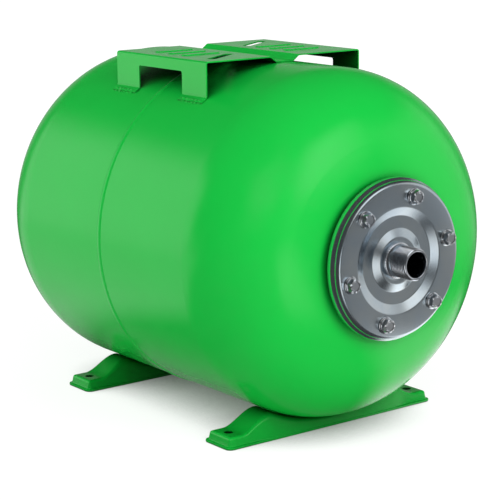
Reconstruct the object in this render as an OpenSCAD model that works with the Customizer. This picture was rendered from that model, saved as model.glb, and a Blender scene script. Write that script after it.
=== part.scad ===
// Horizontal diaphragm pressure tank: two deep-drawn shells welded at a girth seam,
// a bent pump bracket on top, two pressed feet, and a bolted cover flange with a
// threaded water nipple that clamps the bladder. Millimetres, +Z up.
// The tank's axis runs along X with the nipple at +X. The origin lies on the floor,
// under the middle of the overall length.

/* [Tank body] */
// Outside diameter of the tank
tank_d = 375; // [350:1:400]
// Length of the straight body on each side of the girth seam
body_half = 151; // [135:1:180]
// Radius of the knuckle between the straight body and the end
knuckle_r = 94; // [80:1:105]
// Radius of the shoulder between the knuckle and the almost flat crown
shoulder_r = 240; // [200:5:280]
// Thickness of the tank sheet
shell_t = 1.2; // [1:0.1:2]
// Distance from the floor to the lowest line of the tank
ground_gap = 11.5; // [8:0.5:20]

/* [Girth seam] */
// Length of the rear shell's rim that slides into the front shell
lap_l = 8; // [5:1:12]
// Length over which the rear shell's rim steps inwards
joggle_l = 4; // [3:0.5:6]
// Clearance between the two shells in the lap
lap_gap = 0.15; // [0.1:0.05:0.3]
// Width of the weld bead that shows
bead_w = 7; // [6:0.5:10]
// Height of the weld bead above the shell
bead_h = 1.1; // [0.6:0.1:1.6]

/* [Neck and clamp ring] */
// Outside radius of the neck drawn out of the front end
neck_r = 54; // [50:0.5:56]
// Outside radius of the lip that the neck is turned over to
lip_r = 61.5; // [59:0.5:62]
// Distance that the lip's front face stands out beyond the tank's end
neck_out = 6.6; // [6:0.1:11]
// Thickness of the clamp ring behind the lip
ring_t = 5; // [4:0.5:5.5]
// Outside radius of the clamp ring
ring_r = 78.5; // [76:0.5:79]
// Running clearance between loose turned pieces
slip_gap = 0.4; // [0.3:0.1:0.6]

/* [Cover flange] */
// Thickness of the cover sheet
cover_t = 3; // [2.5:0.25:3.25]
// Radius of the boss that carries the nipple
boss_r = 24; // [22:0.5:26]
// Depth of the boss face below the bolt land
boss_drop = 1.3; // [0.8:0.1:2]
// Radius where the boss slope reaches the recess floor
floor_in_r = 33; // [31:0.5:35]
// Radius where the recess floor meets the outer slope
floor_out_r = 46; // [44:0.5:47]
// Radius where the outer slope meets the bolt land
land_r = 56; // [55:0.5:57]
// Depth of the recess floor below the bolt land
recess_d = 4.5; // [3.5:0.25:5]
// Outside radius of the front edge of the rim
rim_r = 82; // [81:0.5:85]
// Outward step of the rim behind its front edge
rim_step = 2.7; // [2:0.1:3.5]
// Depth of the rim from the front face to its rear edge
rim_d = 13.5; // [12.5:0.5:14.5]

/* [Flange bolts] */
// Number of bolts
bolt_n = 6; // [5:1:8]
// Diameter of the bolt circle
bolt_pcd = 133.5; // [132:0.5:136]
// Turn of the first bolt from the horizontal
bolt_turn = 13.5; // [0:0.5:30]
// Radius of the bolt shank
bolt_r = 3.9; // [3.5:0.1:4.2]
// Length of the bolt under its head
bolt_l = 16; // [14:0.5:16.5]
// Radius of the washer face on the bolt head
head_r = 8.9; // [8:0.1:9.4]
// Thickness of the washer face at its edge
washer_t = 1.4; // [1:0.1:1.8]
// Width across the flats of the hexagon
hex_af = 13; // [11:0.5:13.5]
// Height of the whole bolt head
head_h = 8; // [6.5:0.5:9]
// Radius of the shallow dish in the top of the bolt head
dish_r = 4.6; // [3:0.1:5]
// Depth of the dish
dish_d = 0.5; // [0.3:0.1:0.8]

/* [Water nipple] */
// Outside radius of the nipple's thread
thread_r = 16.62; // [16:0.01:18]
// Radius of the plain stub next to the cover
stub_r = 15.9; // [15.2:0.1:15.95]
// Radius of the nipple's bore
water_r = 13.3; // [12:0.1:14]
// Length of the nipple in front of the boss
nipple_l = 27; // [24:0.5:32]
// Length of the plain stub in front of the boss
stub_l = 5; // [4:0.5:7]
// Length of the nipple behind the cover sheet
nipple_tail = 3; // [2:0.5:5]
// Leg length of the weld round the nipple
nipple_weld_l = 2.8; // [2:0.1:3.5]

/* [Bladder] */
// Thickness of the bladder's clamped collar
collar_t = 4.5; // [4:0.25:5]
// Wall thickness of the bladder
bladder_t = 2; // [1.5:0.25:3]
// Outside radius of the bladder's bag
bag_r = 116; // [100:1:140]
// Distance between the closed end of the bag and the rear end of the tank
bag_gap = 124; // [95:1:165]
// Length of the bladder's throat behind the lip
throat_l = 31; // [25:1:40]
// Length of the cone between the throat and the bag
cone_l = 30; // [24:1:45]

/* [Pump bracket] */
// Length of the bracket along the tank
bracket_l = 168; // [140:1:200]
// Half width of the bracket over its outer legs
bracket_y = 105; // [90:0.5:115]
// Thickness of the bracket sheet
bracket_t = 1.5; // [1.25:0.25:2.5]
// Height of the pump plates above the tank's top line
plate_rise = 7.2; // [6:0.2:12]
// Inner radius of the bracket's bends
bracket_bend = 1.5; // [1:0.25:2.5]
// Half width of the strip between the plates, which rests on the tank
strip_y = 11.5; // [9:0.5:14]
// Half distance between the inner edges of the two plates
plate_y = 19; // [17:0.5:22]
// Length of the toe that lies on the tank
toe_l = 7; // [5:0.5:11]
// Length of the cut-out between the two legs of a side
window_l = 81; // [60:1:100]
// Height of the strip left above the cut-out
window_drop = 13; // [10:0.5:16]
// Corner radius of the cut-out
window_r = 2.5; // [1.5:0.5:6]
// Length of the slot for the pump's foot bolts
slot_l = 60; // [45:1:66]
// Width of the slot
slot_w = 10; // [7:0.5:11]
// Turn of the slot from the tank's axis
slot_turn = 123; // [115:1:130]
// Distance of the slot's middle from the bracket's middle, along the tank
slot_x = 47.5; // [44:0.5:52]
// Distance of the slot's middle from the bracket's middle, across the tank
slot_y = 59.5; // [57:0.5:62]
// Length of an embossed rib
rib_l = 50; // [40:1:56]
// Width of an embossed rib
rib_w = 11; // [8:0.5:14]
// Height of an embossed rib
rib_h = 1.6; // [1:0.1:1.8]
// Spacing of the ribs along the tank
rib_pitch = 25; // [20:1:27]
// Distance from the bracket's middle to the first rib, along the tank
rib_start = 12; // [6:0.5:14]

/* [Feet] */
// Distance between the two feet along the tank
foot_pitch = 272; // [220:1:290]
// Distance of the middle of the feet in front of the girth seam
foot_shift = 8; // [0:0.5:12]
// Length of a foot across the tank
foot_l = 285; // [270:1:300]
// Width of a foot along the tank
foot_w = 46; // [40:0.5:56]
// Thickness of the foot sheet
foot_t = 2.5; // [2:0.25:3]
// Width of the lip turned out round the foot's lower edge
lip_w = 3.2; // [2.5:0.1:4.5]
// Height of the flat end tabs above the floor
tab_h = 12; // [10:0.5:15]
// Half width of the saddle that follows the tank
saddle_y = 80; // [70:1:90]
// Distance from the foot's middle to the start of its flat tab
tab_y = 121; // [112:1:121]
// Inward lean of the foot's walls
foot_lean = 1.2; // [0.6:0.1:2]
// Radius of the foot's upper edges
foot_edge_r = 3.5; // [3:0.25:4]
// Corner radius of the foot's outline
foot_corner_r = 7; // [5:0.5:9]
// Distance between the two bolt holes of a foot
hole_pitch = 252; // [250:0.5:258]
// Radius of a foot's bolt hole
hole_r = 5; // [4:0.25:5.5]
// Clearance between the foot's saddle and the tank
saddle_gap = 0.2; // [0.15:0.05:0.4]

/* [Air valve] */
// Radius of the boss welded to the rear end
valve_boss_r = 11; // [10:0.5:13]
// Height of the boss
valve_boss_h = 6; // [5:0.5:8]
// Radius of the boss's spigot in the shell
spigot_r = 7; // [6:0.25:8]
// Radius of the stem's thread in the boss
stem_base_r = 4.8; // [4.4:0.1:5.4]
// Radius of the stem's free end
stem_r = 3.85; // [3.6:0.05:4.1]
// Length of the stem's free end
stem_l = 12; // [10:0.5:15]
// Radius of the stem's bore
stem_bore_r = 2.3; // [2.1:0.05:2.6]
// Thickness of the seal under the stem's hexagon
seal_t = 1.2; // [1:0.1:2]
// Outside radius of the plastic guard over the valve
guard_r = 25; // [22:0.5:30]
// Length of the guard
guard_l = 29; // [27:0.5:34]
// Wall thickness of the guard
guard_t = 2; // [1.5:0.25:3]
// Number of finger grooves round the guard
grip_n = 18; // [12:1:24]
// Radius of a finger groove
grip_r = 2.5; // [1.5:0.25:3]
// Depth of a finger groove
grip_d = 0.9; // [0.5:0.1:1.2]

/* [Hidden] */

// Colours as the photograph shows them
paint_green = [0.10, 0.62, 0.25];
zinc_grey = [0.55, 0.58, 0.62];
brass_gold = [0.76, 0.62, 0.28];
plastic_black = [0.05, 0.05, 0.05];
rubber_black = [0.08, 0.08, 0.08];

// Tank outline: knuckle, shoulder and crown meet where they lean by these angles
knuckle_lean = 16;
shoulder_lean = 8;
tank_r = tank_d / 2;
axis_z = tank_r + ground_gap;
knuckle_c = [tank_r - knuckle_r, body_half];
shoulder_c = knuckle_c - (shoulder_r - knuckle_r) * [sin(knuckle_lean), cos(knuckle_lean)];
crown_r = shoulder_r + shoulder_c[0] / sin(shoulder_lean);
crown_x = shoulder_c[1] - (crown_r - shoulder_r) * cos(shoulder_lean);
end_x = crown_x + crown_r;

// Flange stack, measured from the seam
seat_x = end_x + neck_out;
face_x = seat_x + collar_t + cover_t;
boss_x = face_x - boss_drop;
nipple_end = boss_x + nipple_l;
guard_end = end_x + guard_l;
seam_x = (guard_end - nipple_end) / 2;
cover_bend = 0.8;
bag_bend = 12;
ring_hole_gap = 0.15;
cover_hole_gap = 0.7;
collar_gap = 0.6;

// Bracket section, measured from the tank's axis
plate_z = tank_r + plate_rise;
mid_t = bracket_t / 2;
contact_gap = 0.1;
leg_y = bracket_y - mid_t;
toe_turn = asin((leg_y + toe_l / 2) / tank_r);
toe_r = tank_r + contact_gap + mid_t;
toe_out = toe_l / 2;
toe_foot = [toe_r * sin(toe_turn), toe_r * cos(toe_turn)];
toe_dir = [cos(toe_turn), -sin(toe_turn)];
leg_foot = toe_foot + toe_dir * (leg_y - toe_foot[0]) / toe_dir[0];
toe_tip = toe_foot + toe_dir * toe_out;
strip_z = tank_r + contact_gap + mid_t;
leg_w = (bracket_l - window_l) / 2;
bracket_weld_l = bracket_t;
bracket_weld_gap = 0.05;

// Air valve stack, measured outwards from the rear end
guard_gap = 0.3;
grip_from = 5;
hex_h = 4;
stem_hex_af = 11;
hex_base = valve_boss_h + seal_t;
stem_foot = hex_base + hex_h;
stem_end = stem_foot + stem_l;

round_fn = 144;
small_fn = 48;

// Points of an arc from angle a0 to angle a1 about centre c
function arc(c, r, a0, a1, n) =
    [for (i = [0:n]) c + r * [cos(a0 + (a1 - a0) * i / n), sin(a0 + (a1 - a0) * i / n)]];

function unit(v) = v / norm(v);
function left_of(v) = [-v[1], v[0]];
function reversed(list) = [for (i = [len(list) - 1:-1:0]) list[i]];
function flatten(lists) = [for (l = lists) each l];

// One side of a bent sheet: the bend at corner i of its middle line, offset by o
function bend_at(path, i, mid_r, o) =
    let (d0 = unit(path[i] - path[i - 1]),
         d1 = unit(path[i + 1] - path[i]),
         turn = atan2(d0[0] * d1[1] - d0[1] * d1[0], d0 * d1),
         side = sign(turn),
         centre = path[i] - d0 * mid_r * tan(abs(turn) / 2) + side * left_of(d0) * mid_r,
         out = -side * left_of(d0),
         a0 = atan2(out[1], out[0]))
    arc(centre, mid_r - side * o, a0, a0 + turn, 5);

function sheet_side(path, mid_r, o) =
    let (n = len(path) - 1,
         first = path[0] + o * left_of(unit(path[1] - path[0])),
         last = path[n] + o * left_of(unit(path[n] - path[n - 1])))
    concat([first], flatten([for (i = [1:n - 1]) bend_at(path, i, mid_r, o)]), [last]);

// Outline of a sheet of thickness t whose middle line runs along path
module bent_sheet(path, t, bend_r) {
    mid_r = bend_r + t / 2;
    polygon(concat(sheet_side(path, mid_r, -t / 2), reversed(sheet_side(path, mid_r, t / 2))));
}

// Turns a section, drawn as radius and distance from the seam, about the tank's axis
module on_axis() {
    translate([seam_x, 0, axis_z])
        rotate([0, 90, 0])
            rotate_extrude($fn = round_fn)
                children();
}

// The same on the rear end, with distances measured outwards from the rear end's tip
module on_rear_end(fn = small_fn) {
    translate([seam_x - end_x, 0, axis_z])
        rotate([0, -90, 0])
            rotate_extrude($fn = fn)
                children();
}

// Extrudes a section in the YZ plane along X, about the middle
module along_x(l) {
    rotate([90, 0, 90])
        linear_extrude(height = l, center = true)
            children();
}

// Extrudes a section in the XZ plane along Y, about the middle
module along_y(l) {
    rotate([90, 0, 0])
        linear_extrude(height = l, center = true)
            children();
}

// Everything beyond the straight body that is further than r from the axis
module beyond(r) {
    translate([r, body_half])
        square([2 * tank_r, tank_r]);
}

// Part of a disc of radius r about c that lies beyond the body, between two distances
module end_strip(c, r, from_r, to_r, fn) {
    intersection() {
        translate(c)
            circle(r, $fn = fn);
        difference() {
            beyond(from_r);
            beyond(to_r);
        }
    }
}

// Half section of a solid cup whose surface lies inset inside the tank's outline
module cup_section(inset) {
    knuckle_join = knuckle_c[0] + (knuckle_r - inset) * sin(knuckle_lean);
    shoulder_join = (crown_r - inset) * sin(shoulder_lean);
    square([tank_r - inset, body_half]);
    end_strip(knuckle_c, knuckle_r - inset, knuckle_join, 2 * tank_r, 240);
    end_strip(shoulder_c, shoulder_r - inset, shoulder_join, knuckle_join, 480);
    end_strip([0, crown_x], crown_r - inset, 0, shoulder_join, 720);
}

module cup_wall(from_x) {
    difference() {
        cup_section(0);
        cup_section(shell_t);
        translate([0, -1])
            square([tank_r + 1, from_x + 1]);
        translate([0, from_x - 1])
            square([tank_r - shell_t, 2]);
    }
}

// Distance from the seam of the crown surface at radius r, on a crown inset by d
function crown_at(r, d) = crown_x + sqrt(pow(crown_r - d, 2) - r * r);

module front_shell() {
    color(paint_green)
        on_axis()
            front_shell_section();
}

module front_shell_section() {
    root_x = crown_at(neck_r, shell_t);
    difference() {
        cup_wall(0);
        translate([0, body_half])
            square([neck_r - shell_t, tank_r]);
    }
    translate([neck_r - shell_t, root_x])
        square([shell_t, seat_x - root_x]);
    translate([neck_r - shell_t, seat_x - shell_t])
        square([lip_r - neck_r + shell_t, shell_t]);
}

module rear_shell() {
    lap_r = tank_r - shell_t - lap_gap;
    color(paint_green)
        translate([seam_x, 0, axis_z])
            rotate([0, -90, 0])
                difference() {
                    rotate_extrude($fn = round_fn)
                        union() {
                            cup_wall(joggle_l);
                            polygon([[tank_r - shell_t, joggle_l + 1],
                                     [tank_r - shell_t, joggle_l], [lap_r - shell_t, 0],
                                     [lap_r - shell_t, -lap_l], [lap_r, -lap_l], [lap_r, 0],
                                     [tank_r, joggle_l], [tank_r, joggle_l + 1]]);
                        }
                    translate([0, 0, body_half])
                        cylinder(r = spigot_r + contact_gap, h = tank_r, $fn = small_fn);
                }
}

// Bead that fills the groove at the joggle and stands a little proud of both shells
module girth_weld() {
    mid_x = -joggle_l / 2;
    half_w = bead_w / 2;
    crown = (half_w * half_w + bead_h * bead_h) / (2 * bead_h);
    color(paint_green)
        on_axis()
            union() {
                polygon([[tank_r, -joggle_l], [tank_r, 0],
                         [tank_r - shell_t - lap_gap, 0]]);
                intersection() {
                    translate([tank_r + bead_h - crown, mid_x])
                        circle(crown, $fn = 120);
                    translate([tank_r, mid_x - bead_w])
                        square([bead_w, 2 * bead_w]);
                }
            }
}

// Height of the foot's upper face above the floor at a distance y from its middle
function saddle_z(y) = axis_z - sqrt(pow(tank_r + saddle_gap, 2) - y * y);
function ogee_z(s) =
    (1 - 3 * s * s + 2 * s * s * s) * saddle_z(saddle_y)
    + (s - 2 * s * s + s * s * s) * 0.2 * (tab_y - saddle_y)
    + (3 * s * s - 2 * s * s * s) * tab_h;
function foot_top(y) =
    abs(y) <= saddle_y ? saddle_z(abs(y))
    : abs(y) >= tab_y ? tab_h
    : ogee_z((abs(y) - saddle_y) / (tab_y - saddle_y));

foot_stations = 32;
corner_steps = 3;

// Right-hand half of the foot's outline in plan, inset by d, from rear end to front end
function foot_half(d) =
    let (a = foot_l / 2 - d,
         b = foot_w / 2 - d,
         c = max(foot_corner_r - d, 1))
    concat([for (i = [0:corner_steps])
               [b - c + c * sin(90 * i / corner_steps), -a + c - c * cos(90 * i / corner_steps)]],
           [for (i = [1:foot_stations - 1]) [b, (a - c) * (2 * i / foot_stations - 1)]],
           [for (i = [corner_steps:-1:0])
               [b - c + c * sin(90 * i / corner_steps), a - c + c * cos(90 * i / corner_steps)]]);

// A closed ring of the foot's wall: inset d, and either a fixed height or a depth
// below the upper face
function foot_ring(d, z, follows) =
    let (half = foot_half(d))
    concat([for (p = half) [p[0], p[1], follows ? foot_top(p[1]) - z : z]],
           [for (p = reversed(half)) [-p[0], p[1], follows ? foot_top(p[1]) - z : z]]);

function wall_faces(a, b, n) =
    flatten([for (i = [0:n - 1])
        let (j = (i + 1) % n)
        [[a + i, b + i, a + j], [a + j, b + i, b + j]]]);

function cap_faces(a, n, up) =
    flatten([for (i = [0:n / 2 - 2])
        let (p = a + i, q = a + i + 1, r = a + n - 1 - i, s = a + n - 2 - i)
        up ? [[p, r, q], [q, r, s]] : [[p, q, r], [q, s, r]]]);

// Deep-drawn pan: lip, leaning wall, rounded upper edge and a shaped upper face
module foot_pan() {
    wall = lip_w + foot_lean;
    e = foot_edge_r;
    in_e = e - foot_t;
    root = 0.6;
    rings = [foot_ring(0, 0, false),
             foot_ring(0, foot_t, false),
             foot_ring(lip_w - root, foot_t, false),
             foot_ring(lip_w, foot_t + 1.5 * root, false),
             foot_ring(wall, e, true),
             foot_ring(wall + e * (1 - cos(30)), e * (1 - sin(30)), true),
             foot_ring(wall + e * (1 - cos(60)), e * (1 - sin(60)), true),
             foot_ring(wall + e, 0, true),
             foot_ring(wall + e, foot_t, true),
             foot_ring(wall + foot_t, foot_t + in_e, true),
             foot_ring(lip_w + foot_t - root, 0, false)];
    n = len(rings[0]);
    outer_last = 7;
    inner_last = 10;
    polyhedron(points = flatten(rings),
               faces = concat(
                   flatten([for (k = [0:outer_last - 1]) wall_faces(k * n, (k + 1) * n, n)]),
                   cap_faces(outer_last * n, n, true),
                   cap_faces((outer_last + 1) * n, n, false),
                   flatten([for (k = [outer_last + 1:inner_last - 1])
                       wall_faces(k * n, (k + 1) * n, n)]),
                   wall_faces(inner_last * n, 0, n)),
               convexity = 6);
}

module foot(side) {
    color(paint_green)
        translate([seam_x + foot_shift + side * foot_pitch / 2, 0, 0])
            difference() {
                foot_pan();
                for (y = [-1, 1])
                    translate([0, y * hole_pitch / 2, 0])
                        cylinder(r = hole_r, h = 2 * tab_h, $fn = small_fn);
            }
}

module front_foot() {
    foot(1);
}

module rear_foot() {
    foot(-1);
}

// Half of the bracket's middle line, from the strip on the tank to the toe's tip
bracket_half = [[strip_y, strip_z], [plate_y, plate_z - mid_t], [leg_y, plate_z - mid_t],
                leg_foot, toe_tip];
bracket_path = concat(reversed([for (p = bracket_half) [-p[0], p[1]]]), bracket_half);

// Outline of a slot or a rib: length l, width w, round ends
module long_hole(l, w) {
    c = [(l - w) / 2, 0];
    polygon(concat(arc(c, w / 2, -90, 90, 12), arc(-c, w / 2, 90, 270, 12)));
}

module rib(l, w, h) {
    linear_extrude(height = h, scale = [(l - 2 * h) / l, (w - 2 * h) / w])
        long_hole(l, w);
}

// Places children on both plates: the second plate is the first one turned half round
module on_both_plates() {
    for (turn = [0, 180])
        rotate([0, 0, turn])
            translate([0, 0, plate_z])
                children();
}

module at_ribs() {
    for (i = [0:2])
        translate([rib_start - i * rib_pitch, -slot_y, 0])
            rotate([0, 0, 90])
                children();
}

module window_section() {
    top = plate_z - window_drop;
    h = window_l / 2;
    polygon(concat([[-h, 0], [h, 0]],
                   arc([h - window_r, top - window_r], window_r, 0, 90, 5),
                   arc([-h + window_r, top - window_r], window_r, 90, 180, 5)));
}

// A short drum about the tank's axis that stands rise above the weld bead
module over_bead(rise, side) {
    translate([-joggle_l / 2, 0, 0])
        rotate([0, 90, 0])
            cylinder(r = tank_r + bead_h + rise, h = bead_w + 2 * side, center = true,
                     $fn = round_fn);
}

// Part of the strip that is pressed up over the weld bead
module strip_hump() {
    rise = contact_gap + bracket_t;
    intersection() {
        over_bead(rise, rise);
        translate([0, 0, strip_z + rise])
            cube([3 * bead_w, 2 * strip_y + bracket_t, 2 * rise], center = true);
    }
}

module pump_bracket() {
    color(paint_green)
        translate([seam_x, 0, axis_z])
            difference() {
                union() {
                    along_x(bracket_l)
                        bent_sheet(bracket_path, bracket_t, bracket_bend);
                    strip_hump();
                    on_both_plates()
                        at_ribs()
                            rib(rib_l, rib_w, rib_h);
                }
                over_bead(contact_gap, contact_gap);
                on_both_plates()
                    translate([0, 0, -bracket_t])
                        at_ribs()
                            rib(rib_l - bracket_t, rib_w - bracket_t, rib_h);
                on_both_plates()
                    translate([slot_x, -slot_y, -2 * bracket_t])
                        rotate([0, 0, slot_turn])
                            linear_extrude(height = 4 * bracket_t)
                                long_hole(slot_l, slot_w);
                for (side = [-1, 1])
                    translate([0, side * (bracket_y + toe_l / 2), 0])
                        along_y(2 * toe_l + 4 * bracket_t)
                            window_section();
            }
}

// Fillet welds along the outer edge of each toe
module bracket_welds() {
    under = toe_tip + bracket_weld_gap * toe_dir - mid_t * left_of(toe_dir);
    top = under + bracket_weld_l * left_of(toe_dir);
    far_r = tank_r + contact_gap;
    far_turn = toe_turn + (toe_out + bracket_weld_l) / tank_r * 180 / PI;
    far = far_r * [sin(far_turn), cos(far_turn)];
    color(paint_green)
        translate([seam_x, 0, axis_z])
            for (end = [-1, 1], side = [0, 1])
                translate([end * (window_l + leg_w) / 2, 0, 0])
                    mirror([0, side, 0])
                        along_x(leg_w - 4)
                            polygon([under, top, far]);
}

// Places children, drawn along +Z, at each flange bolt, with z = 0 on the seam
module at_bolts() {
    translate([seam_x, 0, axis_z])
        for (i = [0:bolt_n - 1])
            rotate([bolt_turn + 360 * i / bolt_n, 0, 0])
                translate([0, bolt_pcd / 2, 0])
                    rotate([0, 90, 0])
                        children();
}

module clamp_ring() {
    back_x = seat_x - shell_t - ring_t;
    color(zinc_grey)
        difference() {
            on_axis()
                translate([neck_r + slip_gap, back_x])
                    square([ring_r - neck_r - slip_gap, ring_t]);
            at_bolts()
                translate([0, 0, back_x - 1])
                    cylinder(r = bolt_r + ring_hole_gap, h = ring_t + 2, $fn = small_fn);
        }
}

// Middle line of the pressed cover, from the nipple's hole to the rear edge of its rim
module cover_section() {
    mid = face_x - cover_t / 2;
    wall_r = rim_r - cover_t / 2;
    bent_sheet([[stub_r + contact_gap, mid - boss_drop],
                [boss_r, mid - boss_drop],
                [floor_in_r, mid - recess_d],
                [floor_out_r, mid - recess_d],
                [land_r, mid],
                [wall_r, mid],
                [wall_r, mid - cover_t - 1],
                [wall_r + rim_step, mid - cover_t - 1 - rim_step],
                [wall_r + rim_step, face_x - rim_d]],
               cover_t, cover_bend);
}

module cover_flange() {
    color(zinc_grey)
        difference() {
            on_axis()
                cover_section();
            at_bolts()
                translate([0, 0, face_x - 2 * cover_t])
                    cylinder(r = bolt_r + cover_hole_gap, h = 3 * cover_t, $fn = small_fn);
        }
}

module nipple_weld() {
    r = stub_r + contact_gap;
    color(zinc_grey)
        on_axis()
            polygon([[r, boss_x], [r + nipple_weld_l, boss_x],
                     [r + 0.45 * nipple_weld_l, boss_x + 0.5 * nipple_weld_l],
                     [r, boss_x + nipple_weld_l]]);
}

// Threaded water connection: plain stub, thread band with a chamfered end, open bore
module water_nipple() {
    tail_x = boss_x - cover_t - nipple_tail;
    thread_x = boss_x + stub_l;
    chamfer = 1.2;
    mouth = 0.6;
    color(zinc_grey)
        on_axis()
            polygon([[water_r, tail_x], [stub_r, tail_x], [stub_r, thread_x],
                     [thread_r, thread_x + thread_r - stub_r],
                     [thread_r, nipple_end - chamfer], [thread_r - chamfer, nipple_end],
                     [water_r + mouth, nipple_end], [water_r, nipple_end - mouth]]);
}

// Rubber bag with a thick collar, clamped between the lip and the cover
module bladder() {
    throat_r = neck_r - shell_t - slip_gap - bladder_t / 2;
    mouth_r = throat_r - bladder_t / 2;
    collar_r = bolt_pcd / 2 - bolt_r - collar_gap;
    slope = (land_r - floor_out_r) / recess_d;
    front_x = seat_x + collar_t;
    wedge_r = land_r + cover_bend;
    bag_mid = bag_r - bladder_t / 2;
    bag_front = seat_x - throat_l - cone_l;
    bag_back = end_x - bag_gap;
    color(rubber_black)
        on_axis()
            union() {
                polygon([[mouth_r, seat_x], [collar_r, seat_x], [collar_r, front_x],
                         [wedge_r, front_x], [mouth_r, front_x - (wedge_r - mouth_r) / slope]]);
                bent_sheet([[throat_r, seat_x + 1], [throat_r, seat_x - throat_l],
                            [bag_mid, bag_front], [bag_mid, 0]], bladder_t, bag_bend);
                bent_sheet([[bag_mid, 1], [bag_mid, -bag_back], [0, -bag_back]],
                           bladder_t, bag_r / 2);
            }
}

// Flange-head bolt with its bearing face at z = 0 and its head towards +Z
module bolt() {
    difference() {
        bolt_blank();
        translate([0, 0, head_h - dish_d])
            cylinder(r1 = dish_r - dish_d, r2 = dish_r + dish_d, h = 2 * dish_d, $fn = small_fn);
    }
}

module bolt_blank() {
    corner_r = hex_af / sqrt(3);
    cone_h = 1.2;
    step = 0.4;
    cylinder(r = head_r, h = washer_t, $fn = small_fn);
    translate([0, 0, washer_t])
        cylinder(r1 = head_r - step, r2 = corner_r, h = cone_h, $fn = small_fn);
    intersection() {
        translate([0, 0, washer_t])
            cylinder(r = corner_r, h = head_h - washer_t, $fn = 6);
        cylinder(r1 = corner_r + head_h - 1, r2 = corner_r - 1, h = head_h, $fn = small_fn);
    }
    translate([0, 0, -bolt_l])
        cylinder(r = bolt_r, h = bolt_l + washer_t, $fn = small_fn);
}

module flange_bolts() {
    color(zinc_grey)
        at_bolts()
            translate([0, 0, face_x])
                bolt();
}

module valve_boss() {
    color(paint_green)
        on_rear_end()
            polygon([[stem_base_r + contact_gap, -2 * shell_t], [spigot_r, -2 * shell_t],
                     [spigot_r, 0], [valve_boss_r, 0], [valve_boss_r, valve_boss_h - 1],
                     [valve_boss_r - 1, valve_boss_h],
                     [stem_base_r + contact_gap, valve_boss_h]]);
}

module valve_seal() {
    color(rubber_black)
        on_rear_end()
            translate([stem_base_r + contact_gap, valve_boss_h])
                square([2, seal_t]);
}

// Brass stem with a hexagon, screwed into the boss
module valve_stem() {
    color(brass_gold)
        translate([seam_x - end_x, 0, axis_z])
            rotate([0, -90, 0])
                difference() {
                    union() {
                        translate([0, 0, -shell_t])
                            cylinder(r = stem_base_r, h = hex_base + shell_t + 1, $fn = small_fn);
                        translate([0, 0, hex_base])
                            cylinder(r = stem_hex_af / sqrt(3), h = hex_h, $fn = 6);
                        translate([0, 0, stem_foot - 1])
                            cylinder(r = stem_r, h = stem_l + 1, $fn = small_fn);
                    }
                    translate([0, 0, -2 * shell_t])
                        cylinder(r = stem_bore_r, h = stem_end + 4 * shell_t, $fn = small_fn);
                }
}

// One-piece valve insert with its pin, screwed into the stem's mouth
module valve_core() {
    r = stem_bore_r - 0.05;
    color(brass_gold)
        on_rear_end()
            polygon([[0, 1], [r - 1, 1], [r - 0.6, 6], [r, 7], [r, stem_end - 1.5],
                     [r - 0.8, stem_end - 1.5], [r - 0.8, stem_end - 2.5],
                     [0.7, stem_end - 2.5], [0.7, stem_end - 0.4], [0, stem_end - 0.4]]);
}

module dust_cap() {
    in_r = stem_r + contact_gap;
    from_z = stem_foot + 1.5;
    to_z = stem_end + 2.2;
    color(plastic_black)
        on_rear_end()
            polygon([[in_r, from_z], [in_r + 1.3, from_z], [in_r + 1.3, to_z - 1],
                     [in_r + 0.3, to_z], [0, to_z], [0, stem_end + 0.3],
                     [in_r, stem_end + 0.3]]);
}

// Half section of the guard: a cup whose inner hub grips the boss
module guard_section() {
    rim_z = crown_at(guard_r, 0) - end_x + guard_gap;
    hub_r = valve_boss_r + contact_gap;
    draft = 0.5;
    edge = 4;
    in_r = guard_r - guard_t;
    polygon([[in_r, rim_z], [guard_r, rim_z], [guard_r - draft, guard_l - edge],
             [guard_r - draft - edge, guard_l], [0, guard_l], [0, guard_l - guard_t],
             [in_r - draft - edge + guard_t / 2, guard_l - guard_t],
             [in_r - draft, guard_l - edge - guard_t / 4]]);
    translate([hub_r, 1])
        square([guard_t, guard_l - 2]);
}

// Plastic guard with shallow finger grooves round its skirt
module valve_guard() {
    color(plastic_black)
        difference() {
            on_rear_end(fn = round_fn)
                guard_section();
            translate([seam_x - end_x, 0, axis_z])
                rotate([0, -90, 0])
                    for (i = [0:grip_n - 1])
                        rotate([0, 0, 360 * i / grip_n])
                            translate([guard_r + grip_r - grip_d, 0, grip_from])
                                cylinder(r = grip_r, h = guard_l, $fn = small_fn);
        }
}

front_shell();
rear_shell();
girth_weld();
front_foot();
rear_foot();
pump_bracket();
bracket_welds();
clamp_ring();
cover_flange();
nipple_weld();
water_nipple();
bladder();
flange_bolts();
valve_boss();
valve_seal();
valve_stem();
valve_core();
dust_cap();
valve_guard();
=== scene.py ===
"""Looks of a horizontal pressure tank with a pump bracket, two feet and a bolted cover.

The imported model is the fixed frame. The shells, ring, bladder and air valve keep their own
meshes and get finishes here. The cover, nipple thread, bolt heads, weld beads, bracket and
feet are drawn again with the small shapes that a close look finds. Metres, +Z up, the tank's
axis along X with the nipple at +X. At the end of a size's name _r is a radius, _w a width, _h a
height, _l a length, _t a thickness, and _x or _y a distance along that axis.
"""

from __future__ import annotations

import logging
import math
from dataclasses import dataclass
from enum import Enum

import bmesh
import bpy
import numpy as np
from mathutils import Matrix, Vector

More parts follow.
